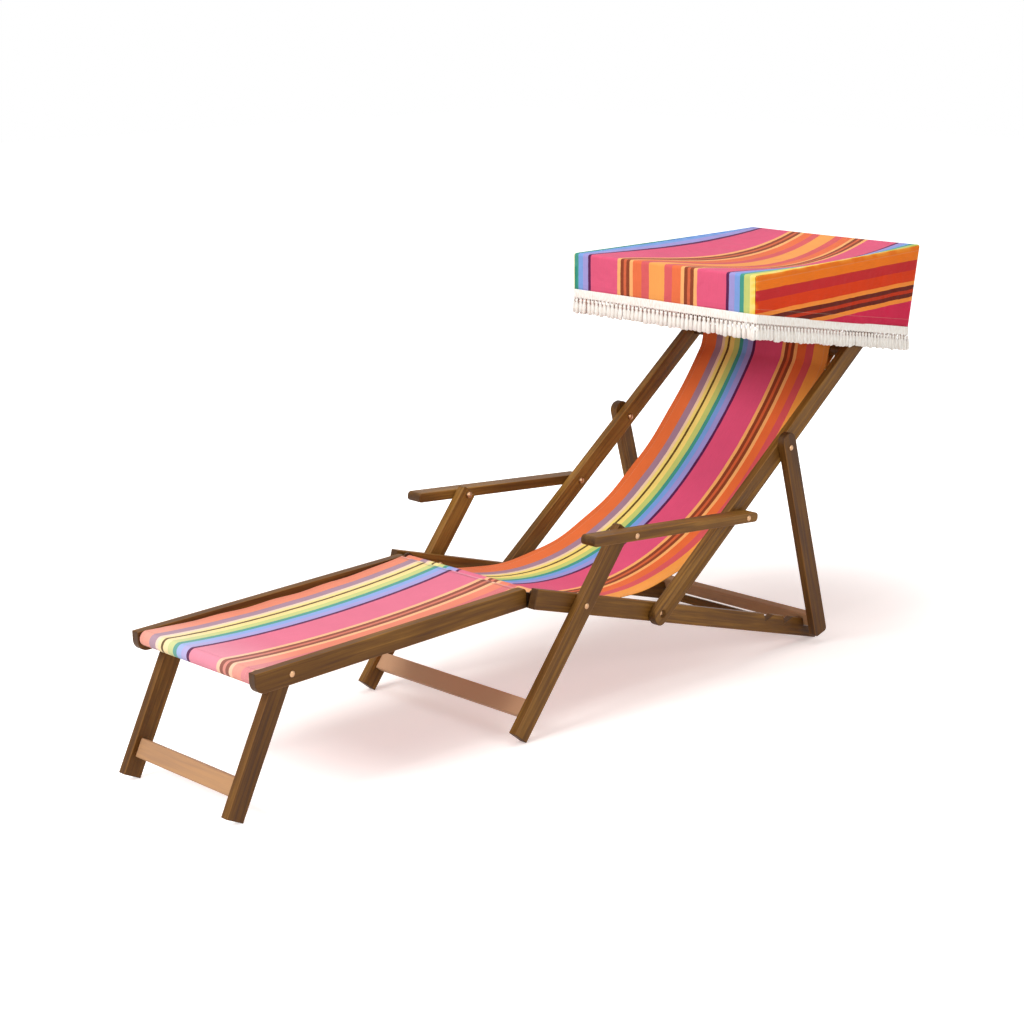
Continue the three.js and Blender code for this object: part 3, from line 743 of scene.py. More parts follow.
def cubic(a, b, c, d, count):
    """The curve (1-t)^3 A + 3(1-t)^2 t B + 3(1-t) t^2 C + t^3 D, with t from 0 to 1."""
    t = np.linspace(0, 1, count)[:, None]
    return (1 - t) ** 3 * a + 3 * (1 - t) ** 2 * t * b + 3 * (1 - t) * t ** 2 * c + t ** 3 * d


def hanging_curve(bars, slopes, reaches, lift, count):
    """Cloth between two bars: it starts and ends at "lift" above the bars' axes, and leaves
    each bar along its slope for about the length of the reach there."""
    runs = heading(np.array(slopes))
    first = bars[0] + turn_quarter(runs[0]) * lift
    last = bars[1] + turn_quarter(runs[1]) * lift
    return cubic(first, first + runs[0] * reaches[0], last - runs[1] * reaches[1], last, count)


def on_the_bar(curve, bar, reach, direction):
    """Lifts the start of a curve that begins in a bar's axis onto the bar. A tangent from a
    point at distance d touches the circle at acos(radius / d) from the direction of the point;
    a cubic curve goes from there back to the curve, which it meets at "reach"."""
    length = lengths_along(curve)
    index = int(np.searchsorted(length, reach))
    joint = curve[index]
    run = unit(curve[index + 1] - joint)
    away = joint - bar
    distance = np.linalg.norm(away)
    angle = math.atan2(away[1], away[0]) + direction * math.acos(pocket_radius / distance)
    touch = bar + pocket_radius * heading(angle)
    leave = unit(joint - touch)
    lift = cubic(touch, touch + leave * 0.4 * distance, joint - run * 0.35 * distance, joint, 16)
    return np.concatenate([lift[:-1], curve[index:]])


def pocket(curve, bar, tail, direction):
    """The fold round a bar: from the curve's first point over the bar and under it, then
    straight along a tangent to where the tail is sewn under the cloth. The direction is +1
    where the fold turns counter-clockwise."""
    length = lengths_along(curve)
    sewn = np.array([np.interp(tail, length, curve[:, k]) for k in (0, 1)])
    ahead = np.array([np.interp(tail + 0.004, length, curve[:, k]) for k in (0, 1)])
    sewn = sewn - direction * turn_quarter(unit(ahead - sewn)) * tail_gap
    away = sewn - bar
    distance = np.linalg.norm(away)
    touch = math.atan2(away[1], away[0]) - direction * math.acos(pocket_radius / distance)
    leave = math.atan2(*(curve[0] - bar)[::-1])
    sweep = direction * ((direction * (touch - leave)) % (2 * math.pi))
    angle = leave + np.linspace(0, 1, 26) * sweep
    fold = bar + pocket_radius * heading(angle)
    straight = np.linspace(fold[-1], sewn, 7)[1:]
    return np.concatenate([fold, straight])


sling_curve = hanging_curve(
    (front_bar, top_bar),
    (seat.slope - math.radians(5.7), back.slope + math.radians(19.4)),
    (0.560, 0.320), 0.0, 170,
)
sling_curve = on_the_bar(sling_curve, front_bar, landing, 1)
sling_curve = on_the_bar(sling_curve[::-1], top_bar, landing, -1)[::-1]
front_fold = pocket(sling_curve, front_bar, sling_tail, 1)
top_fold = pocket(sling_curve[::-1], top_bar, sling_tail, -1)
sling_path = np.concatenate([front_fold[:0:-1], sling_curve, top_fold[1:]])

# %% [markdown]
# Canvas on a deck chair isn't a perfect ruled surface. The hems at both sides are doubled and
# tight, so the middle hangs a few millimetres lower, and the long edges ripple slightly. Those
# are added square to the cloth. Two UV maps go with the sheet: "cloth" runs across the stripes
# and along the warp in metres, and "hem" gives the distance to the nearest hem.

# %% Sheets of canvas
hem_width = 0.014


def cloth_sheet(name, path, half, shape, stripe_zero, stripe_scale=1.0, fade=(0.05, 0.05)):
    """A path in (y, z) carried over X from -half to half, then moved along its own normal by
    shape(across, share), with across from -1 to 1 and share from 0 to 1 along the path. The
    painted light goes from its first value at the start of the path to its second one."""
    across = np.sin(np.linspace(-1, 1, 45) * math.pi / 2 * 0.94)
    across /= across[-1]
    length = lengths_along(path)
    normal = turn_quarter(unit(np.gradient(path, length, axis=0)))
    share = (length / length[-1])[:, None]
    offset = shape(across[None, :], share)
    y = path[:, 0][:, None] + normal[:, 0][:, None] * offset
    z = path[:, 1][:, None] + normal[:, 1][:, None] * offset
    x = np.broadcast_to(across[None, :] * half, y.shape)
    points = np.stack([x, y, z], axis=-1).reshape(-1, 3)
    along = np.broadcast_to(length[:, None], x.shape)
    # painted light: how much paler the cloth is drawn, highest near the start of the path
    painted_light_per_point = fade[1] + (fade[0] - fade[1]) * np.exp(-(along / length[-1] / 0.15) ** 2)
    piece = make_mesh(name, points, grid_faces(len(path), len(across)), fade=painted_light_per_point.ravel())
    lay_map(piece, "cloth", np.stack(
        [(stripe_zero - x).ravel() / stripe_scale, along.ravel()], axis=1))
    lay_map(piece, "hem", np.stack([(half - np.abs(x)).ravel(), along.ravel()], axis=1))
    return piece


def give_thickness(piece, thickness, offset=0.0):
    """Solidify turns the sheet into real cloth of that thickness."""
    solid = piece.modifiers.new("thickness", "SOLIDIFY")
    solid.thickness = thickness
    solid.offset = offset
    solid.use_even_offset = False


sling_half = 0.197
sling_sag = 0.006
edge_ripple = 0.0016
edge_curl = 0.004
pocket_share = 0.09  # of the path, at each end, that lies round a bar
span_share = 1 - 2 * pocket_share


def sling_shape(across, share):
    """Sag of the middle, and ripples that live near the edges only."""
    free = np.sin(np.clip((share - pocket_share) / span_share, 0, 1) * math.pi) ** 0.8
    sag = -sling_sag * (1 - across ** 2) * free
    ripple = edge_ripple * np.sin(share * 46 + 2.1 * across) * np.abs(across) ** 5
    curl = edge_curl * np.abs(across) ** 7
    return sag + (ripple + curl) * free


sling_stripe_zero = 0.175  # the middle of the amber stripe, from the middle of the cloth
# painted highlight: the sling is drawn paler near its front end
sling_painted_light = (0.25, 0.04)
sling = cloth_sheet("sling_canvas", sling_path, sling_half, sling_shape, sling_stripe_zero,
                    fade=sling_painted_light)
give_thickness(sling, cloth_thickness)
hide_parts("sling")
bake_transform(sling)

# %% [markdown]
# ## The footrest's cloth
#
# The footrest has a short length of the same canvas. It is one sheet too, but it is made as
# three pieces here: the span between the bars and the two pockets round them. They meet on
# the tops of the bars.

# %% Footrest cloth
footrest_sling_half = 0.178
footrest_dip = math.radians(6)
footrest_span = float(np.linalg.norm(footrest_bars["rear"] - footrest_bars["front"]))
footrest_curve = hanging_curve(
    (footrest_bars["front"], footrest_bars["rear"]),
    (footrest.slope - footrest_dip, footrest.slope + footrest_dip),
    (0.25 * footrest_span, 0.25 * footrest_span), pocket_radius, 70,
)


def flat_shape(across, share):
    """Cloth drawn tight round a bar: nothing is added to its path."""
    return np.zeros(np.broadcast(across, share).shape)


footrest_sag = 0.004
footrest_ripple = 0.0012


def footrest_shape(across, share):
    """Sag of the middle between the hems, nothing at the two bars."""
    sag = -footrest_sag * (1 - across ** 2)
    ripple = footrest_ripple * np.sin(share * 30) * across ** 6
    return (sag + ripple) * np.sin(share * math.pi)


footrest_stripe_zero = 0.200
footrest_stripe_scale = 1.06
# painted highlight: the footrest's cloth and pockets are drawn paler than the sling, most at the
# front
footrest_painted_light = (0.42, 0.22)
pocket_painted_light = (0.4, 0.4)
footrest_canvas = cloth_sheet("footrest_canvas", footrest_curve, footrest_sling_half,
                              footrest_shape, footrest_stripe_zero, footrest_stripe_scale,
                              fade=footrest_painted_light)
give_thickness(footrest_canvas, cloth_thickness)
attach(footrest_canvas, "footrest")
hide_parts("footrest_sling")

pockets = []
footrest_length = lengths_along(footrest_curve)[-1]
for end, curve, direction in (("front", footrest_curve, 1), ("rear", footrest_curve[::-1], -1)):
    fold = pocket(curve, footrest_bars[end], footrest_tail, direction)
    if direction > 0:
        fold = fold[::-1]
    piece = cloth_sheet("footrest_pocket_" + end, fold, footrest_sling_half, flat_shape,
                        footrest_stripe_zero, footrest_stripe_scale, fade=pocket_painted_light)
    give_thickness(piece, cloth_thickness)
    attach(piece, "footrest")
    pockets.append(piece)
    footrest_length += lengths_along(fold)[-1]

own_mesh(footrest_canvas)
print("footrest cut", round(2 * footrest_sling_half, 3), "x", round(footrest_length, 3), "m")

# %% [markdown]
# ## The canopy cover
#
# The cover is a shallow box of canvas without a floor. One long strip makes the front
# valance, the roof and the rear valance, and its stripes run on from the one to the other. The
# two side panels are sewn to it, with their stripes lying along the top edge. Here all three
# are grids whose borders share the same points, so that they can be merged into one
# continuous sheet. A narrow Bevel softens the folds, as the doubled seams do.

# %% Cover surface
def lerp(start, end, share):
    """The value that lies at this share of the way from start to end."""
    return start + (end - start) * share


def canopy_hem(share):
    """Height of the hem above the pivot, falling evenly from front to rear."""
    return canopy_rise - lerp(valance_front_drop, valance_rear_drop, share)


def canopy_place(across, share, drop_share):
    """A point of the cover: across from -1 to 1, share from front to rear, drop_share from 0
    at the roof to 1 at the hem. Lower down it leans in towards the front at the rear end."""
    half = lerp(canopy_front_half, canopy_rear_half, share)
    drop = (canopy_rise - canopy_hem(share)) * drop_share
    skewed = share ** roof_sag_skew
    sag = roof_sag * 4 * skewed * (1 - skewed) * (1 - across ** 2) * (drop_share == 0)
    lean = valance_rear_slant * share * drop_share
    along = lerp(-canopy_front_reach, canopy_rear_reach, share) - lean
    return across * half, along, canopy_rise - drop - sag


def billow(u, v, seed):
    """A gentle unevenness: the mean of five sine waves with random directions and starts."""
    draw = np.random.default_rng(seed)
    total = np.zeros(np.broadcast(u, v).shape)
    for _ in range(5):
        a, b, start = draw.uniform(-7, 7), draw.uniform(-4, 4), draw.uniform(0, 6.28)
        total += np.sin(a * u + b * v + start) / 5
    return total


roof_rows, drop_rows, roof_columns = 41, 13, 37
amber_offset = -0.014  # the middle of the amber stripe, from the middle of the roof
canopy_stripe_scale = 1.045  # this length of cloth was woven a little wider
side_amber_drop = 0.011  # the same stripe on the side panels, below their top edge
end_wave = 0.0022  # how far the front and rear valances swing out of their plane
side_wave = 0.0030

across = np.linspace(-1, 1, roof_columns)[None, :]
roof_share = np.linspace(0, 1, roof_rows)[:, None]
drop_share = np.linspace(1, 0, drop_rows)[:, None]

grids = []
x, along, height = np.broadcast_arrays(*canopy_place(across, 0.0, drop_share))
swing = end_wave * billow(across * 1.4, drop_share, 3) * (1 - across ** 8) * drop_share
run = (valance_front_drop * (1 - drop_share)) + 0 * across
grids.append(([x, along - swing, height], x, run))
x, along, height = np.broadcast_arrays(*canopy_place(across, roof_share, 0.0))
run = valance_front_drop + (along + canopy_front_reach)
grids.append(([x, along, height], x, run))
fall = drop_share[::-1]
x, along, height = np.broadcast_arrays(*canopy_place(across, 1.0, fall))
swing = end_wave * billow(across * 1.4, fall, 4) * (1 - across ** 8) * fall
run = valance_front_drop + canopy_length + valance_rear_drop * fall + 0 * across
grids.append(([x, along + swing, height], x, run))
fall = np.linspace(0, 1, drop_rows)[None, :]
for sign in (-1, 1):
    x, along, height = np.broadcast_arrays(*canopy_place(float(sign), roof_share, fall))
    held = 1 - (2 * roof_share - 1) ** 8
    swing = side_wave * billow(roof_share * 1.3, fall * 0.6, 6 + sign) * held * fall
    grids.append(([x + swing, along, height], canopy_rise - height, along))
print(len(grids), "grids make the cover")

# %% [markdown]
# The stripes of the strip follow x, those of the side panels the distance below the top
# edge. After the UV maps are laid, points that lie on each other are merged, and the normals
# are made to point outwards. A painted light value on the points makes the roof and the front
# a little paler, a painted highlight, and the steep sides deeper, a painted shade.

# %% Cover mesh
# painted light: the roof and the valances drawn a little paler, the side panels deeper as painted
# shade
top_painted_light = 0.08
side_painted_shade = -0.5
cover_points, cover_faces, cover_uv, cover_hem, cover_painted_light = [], [], [], [], []
start = 0
for index, (parts, stripe, run) in enumerate(grids):
    rows, columns = parts[0].shape
    places = canopy.at(parts[1].ravel(), parts[2].ravel())
    cover_points.append(np.column_stack([parts[0].ravel(), places]))
    cover_faces += grid_faces(rows, columns, first=start)
    is_side = index > 2
    across_stripes = stripe - side_amber_drop if is_side else amber_offset - stripe
    across_stripes = across_stripes / canopy_stripe_scale
    cover_uv.append(np.column_stack([across_stripes.ravel(), run.ravel()]))
    hem_line = canopy_hem(np.clip((parts[1] + canopy_front_reach) / canopy_length, 0, 1))
    distance = parts[2] - hem_line
    if is_side:
        distance = np.minimum(distance, canopy_rise - parts[2])
    cover_hem.append(np.column_stack([distance.ravel(), run.ravel()]))
    cover_painted_light.append(np.full(rows * columns, side_painted_shade if is_side else top_painted_light))
    start += rows * columns

cover = make_mesh("canopy_canvas", np.concatenate(cover_points), cover_faces,
                  fade=np.concatenate(cover_painted_light))
lay_map(cover, "cloth", np.concatenate(cover_uv))
lay_map(cover, "hem", np.concatenate(cover_hem))
face_outwards(cover, merge=2e-5)
top_face = max(cover.data.polygons, key=lambda face: face.center.z)
if top_face.normal.z < 0:
    cover.data.flip_normals()
cover.data.shade_smooth()

seam_width = 0.006
fold = cover.modifiers.new("folds", "BEVEL")
fold.width = seam_width
fold.segments = 4
fold.limit_method = "ANGLE"
fold.angle_limit = math.radians(50)
give_thickness(cover, 0.0014, offset=-1.0)
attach(cover, "canopy")
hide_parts("canopy_cover")
print("cover", len(cover.data.vertices), "points")

# %% [markdown]
# ## The fringe
#
# A woven cotton braid is sewn round the hem, and from it hang knotted tassels: two cords come
# down in a V, meet in a knot, and open into a tuft. The braid is a flat rounded section
# carried round the hem. The tassels are one small form, a radius that changes with height
# and has flutes all round like gathered threads, set every 13 mm along the hem. They are
# worked out together, as one array with an axis for the tassels.

# %% The line of the hem
hem_front, hem_rear = -canopy_front_reach, canopy_rear_reach - valance_rear_slant
hem_corners = [
    (-canopy_front_half, hem_front), (canopy_front_half, hem_front),
    (canopy_rear_half, hem_rear), (-canopy_rear_half, hem_rear),
]
plan = rounded_ring(hem_corners, np.full(4, seam_width), 0.0)
closed = np.vstack([plan, plan[:1]])
plan_length = lengths_along(closed)


def hem_at(distance):
    """Place (x, along, height) on the hem at a distance round it, with the direction outwards
    and the direction in which the hem runs there."""
    x = np.interp(distance, plan_length, closed[:, 0])
    along = np.interp(distance, plan_length, closed[:, 1])
    share = (along - hem_front) / (hem_rear - hem_front)
    ahead = (distance + 0.002) % plan_length[-1]
    behind = (distance - 0.002) % plan_length[-1]
    run = unit(np.stack([
        np.interp(ahead, plan_length, line) - np.interp(behind, plan_length, line)
        for line in closed.T
    ], axis=-1))
    outward = np.stack([run[:, 1], -run[:, 0]], axis=-1)
    return np.stack([x, along, canopy_hem(share)], axis=-1), outward, run


def in_canopy(x, along, height):
    """Points of the chair from arrays of the canopy's own (x, along, height)."""
    return np.concatenate([x[..., None], canopy.at(along, height)], axis=-1)


hem_length = plan_length[-1]
print("hem is", round(hem_length, 3), "m round")

# %% Braid
braid_height = 0.020
braid_thickness = 0.0024
braid_overlap = 0.002
braid_steps = 420
around = np.linspace(0, 2 * math.pi, 14, endpoint=False)
section_out = braid_thickness / 2 * np.sign(np.cos(around)) * np.abs(np.cos(around)) ** 0.5
section_up = braid_height / 2 * np.sign(np.sin(around)) * np.abs(np.sin(around)) ** 0.35
distance = np.linspace(0, hem_length, braid_steps, endpoint=False)
place, outward, _ = hem_at(distance)
out = 0.0004 + section_out[None, :]
lift = braid_overlap - braid_height / 2 + section_up[None, :]
scallop = 0.0006 * np.sin(distance * 2 * math.pi / 0.014)[:, None] * (section_up < 0)[None, :]
braid_points = in_canopy(
    place[:, 0:1] + outward[:, 0:1] * out,
    place[:, 1:2] + outward[:, 1:2] * out,
    place[:, 2:3] + lift + scallop,
).reshape(-1, 3)
braid = make_mesh("fringe_braid", braid_points,
                  grid_faces(braid_steps, len(around), ring=True, loop=True))
lay_map(braid, "cloth", np.column_stack([
    np.repeat(distance, len(around)), np.tile(section_up, braid_steps)]))
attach(braid, "canopy")
print("braid", len(braid_points), "points")

# %% Tassels
pitch = 0.013
tassel_count = int(round(hem_length / pitch))
flutes = 12
level = np.array([0.0, 0.0015, 0.0035, 0.0052, 0.0068, 0.012, 0.021, 0.033, 0.0352])
width = np.array([0.0036, 0.0044, 0.0047, 0.0043, 0.0037, 0.0056, 0.0062, 0.0063, 0.0018])
knot_drop = 0.0035  # from the braid's lower edge to the top of the knot
tassel_top = braid_overlap - braid_height - knot_drop
around = np.linspace(0, 2 * math.pi, flutes, endpoint=False)
flute = 1 + 0.16 * (-1.0) ** np.arange(flutes) * (level > 0.006)[:, None]
distance = (np.arange(tassel_count) + 0.5) * hem_length / tassel_count
place, outward, run = hem_at(distance)
stretch = chance.uniform(0.93, 1.05, tassel_count)[:, None, None]
sway = chance.normal(0, 0.045, (2, tassel_count))[:, :, None, None]
spread = chance.uniform(0.92, 1.08, tassel_count)[:, None, None]
radius = width[:, None] * flute
down = level[:, None][None] * stretch
ring_run = (radius * np.cos(around))[None] * spread + sway[0] * down
ring_out = (0.62 * radius * np.sin(around))[None] + sway[1] * down * 0.6
x, along = (
    place[:, k, None, None] + run[:, k, None, None] * ring_run
    + outward[:, k, None, None] * ring_out for k in (0, 1))
height = place[:, 2, None, None] + tassel_top - down + 0 * ring_run
tassel_points = in_canopy(x, along, height).reshape(-1, 3)


def repeated(faces, points_each, count, first=0):
    """The faces of one small form, once for each of its copies."""
    start = first + points_each * np.arange(count)[:, None, None]
    return (np.array(faces)[None] + start).reshape(-1, 4).tolist()


one = grid_faces(len(level), flutes, ring=True)
tassel_faces = repeated(one, len(level) * flutes, tassel_count)
print(tassel_count, "tassels,", len(one), "faces each")

# %% [markdown]
# The cords between the braid and the knots are thin square strips. Each goes from a place on
# the braid's lower edge to the knot, so neighbours form a row of small openings.

# %% Cords of the fringe
cord_half = 0.0008
cord_lean = 0.45 * pitch  # how far to the side of its knot a cord starts
ends = []
for sign in (-1, 1):
    high = hem_at((distance + sign * cord_lean) % hem_length)[0]
    top = high + np.array([0, 0, braid_overlap - braid_height + 0.001])
    low = place + np.array([0, 0, tassel_top - 0.0015])
    ends.append(np.stack([top, low], axis=1))
ends = np.concatenate(ends)
square_run = np.concatenate([run, run])[:, None, None, :]
square_out = np.concatenate([outward, outward])[:, None, None, :]
turn = np.array([[-1, -1], [1, -1], [1, 1], [-1, 1]]) * cord_half
offset = (turn[None, None, :, :1] * square_run + turn[None, None, :, 1:] * square_out)
flat_offset = np.concatenate([offset, np.zeros_like(offset[..., :1])], axis=-1)
corners = ends[:, :, None, :] + flat_offset
cord_points = in_canopy(corners[..., 0], corners[..., 1], corners[..., 2]).reshape(-1, 3)
cord_faces = repeated(grid_faces(2, 4, ring=True), 8, len(ends), first=len(tassel_points))
fringe = make_mesh("fringe_tassels", np.concatenate([tassel_points, cord_points]),
                   tassel_faces + cord_faces)
face_outwards(fringe, close=True)
fringe.data.shade_smooth()
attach(fringe, "canopy")
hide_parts("canopy_fringe")
cotton = [braid, fringe]

# %% [markdown]
# ## Materials
#
# Each material is a small node tree. One function adds a node with its settings and links;
# colours are written as on a screen (sRGB hex) and turned linear by one function, because the
# renderer adds light in linear values.

# %% Node helpers
def linear(code):
    """An sRGB hex colour as linear light: the standard curve, c/12.92 or ((c+0.055)/1.055)^2.4."""
    values = [int(code[k:k + 2], 16) / 255 for k in (1, 3, 5)]
    return (*[v / 12.92 if v <= 0.04045 else ((v + 0.055) / 1.055) ** 2.4 for v in values], 1.0)


def node(tree, kind, inputs=None, out=None, **settings):
    """Adds a node, sets its properties, and gives each named input a value or a link. Returns
    the output with the name "out", or else the first output that the node has in use."""
    made = tree.nodes.new("ShaderNode" + kind)
    for key, value in settings.items():
        setattr(made, key, value)
    for key, value in (inputs or {}).items():
        socket = made.inputs[key]
        if isinstance(value, bpy.types.NodeSocket):
            tree.links.new(value, socket)
        else:
            socket.default_value = value
    in_use = [socket for socket in made.outputs if socket.enabled]
    return made.outputs[out] if out else next(iter(in_use), None)


def new_material(name):
    """An empty node material, and its tree."""
    material = bpy.data.materials.new(name)
    material.use_nodes = True
    material.node_tree.nodes.clear()
    return material, material.node_tree


def shades(colour, stops, sharp=False):
    """Fills the colour ramp behind this output with (place, hex colour) stops."""
    ramp = colour.node.color_ramp
    ramp.interpolation = "CONSTANT" if sharp else "LINEAR"
    while len(ramp.elements) > 1:
        ramp.elements.remove(ramp.elements[-1])
    for index, (place, code) in enumerate(stops):
        stop = ramp.elements[0] if index == 0 else ramp.elements.new(place)
        stop.position = place
        stop.color = linear(code)


def coat(pieces, material):
    """Gives the material to each of the pieces."""
    for piece in pieces:
        piece.data.materials.append(material)
    print(material.name, "on", len(pieces), "pieces")


# %% [markdown]
# ### Oiled hardwood
#
# The frame is a brown tropical hardwood, planed, sanded and oiled. Oil leaves a soft sheen,
# not a gloss. The grain is noise stretched twenty times or more along the plank: slow bands of
# lighter and darker wood about 8 mm wide, fine pores about 1 mm wide on top, both fed by the
# "grain" attribute. Rounded edges are painted lighter, as worn wood and as a painted highlight;
# sawn ends drink more oil and are darker. The "tone" of a board shifts it lighter or darker.
# Boards that catch more light are given a lighter tone, which is painted light, and a tone
# above 1 mixes in a pale colour, a painted highlight on the flat cross bars of the legs and the
# prop.

# %% Oiled hardwood
def oiled_hardwood():
    """The grain's bands coloured by a ramp, then four more colours laid over it in turn: dark
    pores, rounded edges painted lighter for wear and as a painted highlight, a pale painted
    highlight for tones above 1, and sawn ends."""
    material, tree = new_material("oiled_hardwood")
    plank = node(tree, "Attribute", out="Vector", attribute_name="grain")
    wear, ends, tone = (
        node(tree, "Attribute", out="Fac", attribute_name=key)
        for key in ("wear", "end_grain", "tone"))
    bands, pores, clouds = (
        node(tree, "TexNoise", {
            "Vector": node(tree, "Mapping", {"Vector": plank, "Scale": (along, across, across)}),
            "Scale": 1.0, "Detail": detail, "Distortion": distortion})
        for along, across, detail, distortion in (
            (5, 130, 4.0, 0.6), (45, 900, 3.0, 0.0), (3, 12, 2.0, 0.0)))
    mixed = node(tree, "Math", {0: bands, 1: clouds}, operation="ADD")
    shift = node(tree, "Math", {0: tone, 1: 0.30, 2: -0.64}, operation="MULTIPLY_ADD")
    level = node(tree, "Math", {0: mixed, 1: shift}, operation="ADD")
    colour = node(tree, "ValToRGB", {"Fac": level})
    shades(colour, [(0.22, "#492a09"), (0.42, "#5f3b0f"), (0.58, "#6d4716"), (0.9, "#93672b")])
    pore_share = node(tree, "MapRange", {
        "Value": pores, "From Min": 0.56, "From Max": 0.74, "To Max": 0.35})
    # worn wood and painted highlight: the rounded edges are mixed towards a lighter wood colour
    worn_and_highlight_share = node(tree, "Math", {0: wear, 1: 0.34}, operation="MULTIPLY")
    # painted highlight: a tone above 1 mixes a pale colour into the cross bars that face the light
    painted_highlight_share = node(tree, "MapRange", {
        "Value": tone, "From Min": 1.0, "From Max": 2.0, "To Max": 0.8})
    soaked_share = node(tree, "Math", {0: ends, 1: 0.75}, operation="MULTIPLY")
    for share, code in ((pore_share, "#38200a"), (worn_and_highlight_share, "#a67440"),
                        (painted_highlight_share, "#e0b08c"), (soaked_share, "#3a220c")):
        colour = node(tree, "Mix", {
            "Factor": share, "A": colour, "B": linear(code)}, data_type="RGBA")
    roughness = node(tree, "MapRange", {
        "Value": bands, "From Min": 0.3, "From Max": 0.7, "To Min": 0.46, "To Max": 0.60})
    bump = node(tree, "Bump", {"Height": pores, "Strength": 0.25, "Distance": 0.0006})
    shader = node(tree, "BsdfPrincipled", {
        "Base Color": colour, "Roughness": roughness, "Normal": bump,
        "Specular IOR Level": 0.22})
    node(tree, "OutputMaterial", {"Surface": shader})
    return material


coat(wooden, oiled_hardwood())

# %% [markdown]
# ### Striped deck-chair canvas
#
# The canvas is plain-woven cotton with dyed warp threads, so each stripe runs the whole
# length and its edge is as sharp as one thread. The pattern is symmetrical about an amber
# stripe, so the colour depends on the distance from that stripe's middle, and one ramp with
# hard steps holds half of the pattern. The weave is drawn as crossed ribs 1.8 mm apart;
# the real threads are about 0.6 mm apart and would be lost in a picture of the whole chair.

# %% Stripes
stripe_plan = [  # width in millimetres and colour, from the middle of the amber stripe
    (22, "#f49a30"), (23, "#d64a4c"), (25, "#e66212"), (11, "#f8ac5c"),
    (9, "#86350a"), (8, "#d0561a"), (9, "#86350a"), (11, "#f8ac5c"),
    (83, "#de4470"), (7, "#520c46"), (16, "#9a92d2"), (15, "#709bdc"),
    (12, "#379583"), (15, "#c2cc6c"), (16, "#f7da70"), (6, "#5c430a"),
    (9, "#f7da70"), (8, "#f2cfa8"), (20, "#a17c8e"), (90, "#e6691e"),
]
half_repeat = sum(width for width, _ in stripe_plan) / 1000
stops, reached = [], 0.0
for width, code in stripe_plan:
    stops.append((reached / half_repeat, code))
    reached += width / 1000
print(len(stops), "stripes in", round(half_repeat, 3), "m")

# %% Canvas
weave_pitch = 0.0018
stitch_row_width = 0.0012
stitch_pitch = 0.005
stitch_share = 0.62  # of the pitch; the rest is the gap between two stitches
hem_edge = hem_width + 0.0012


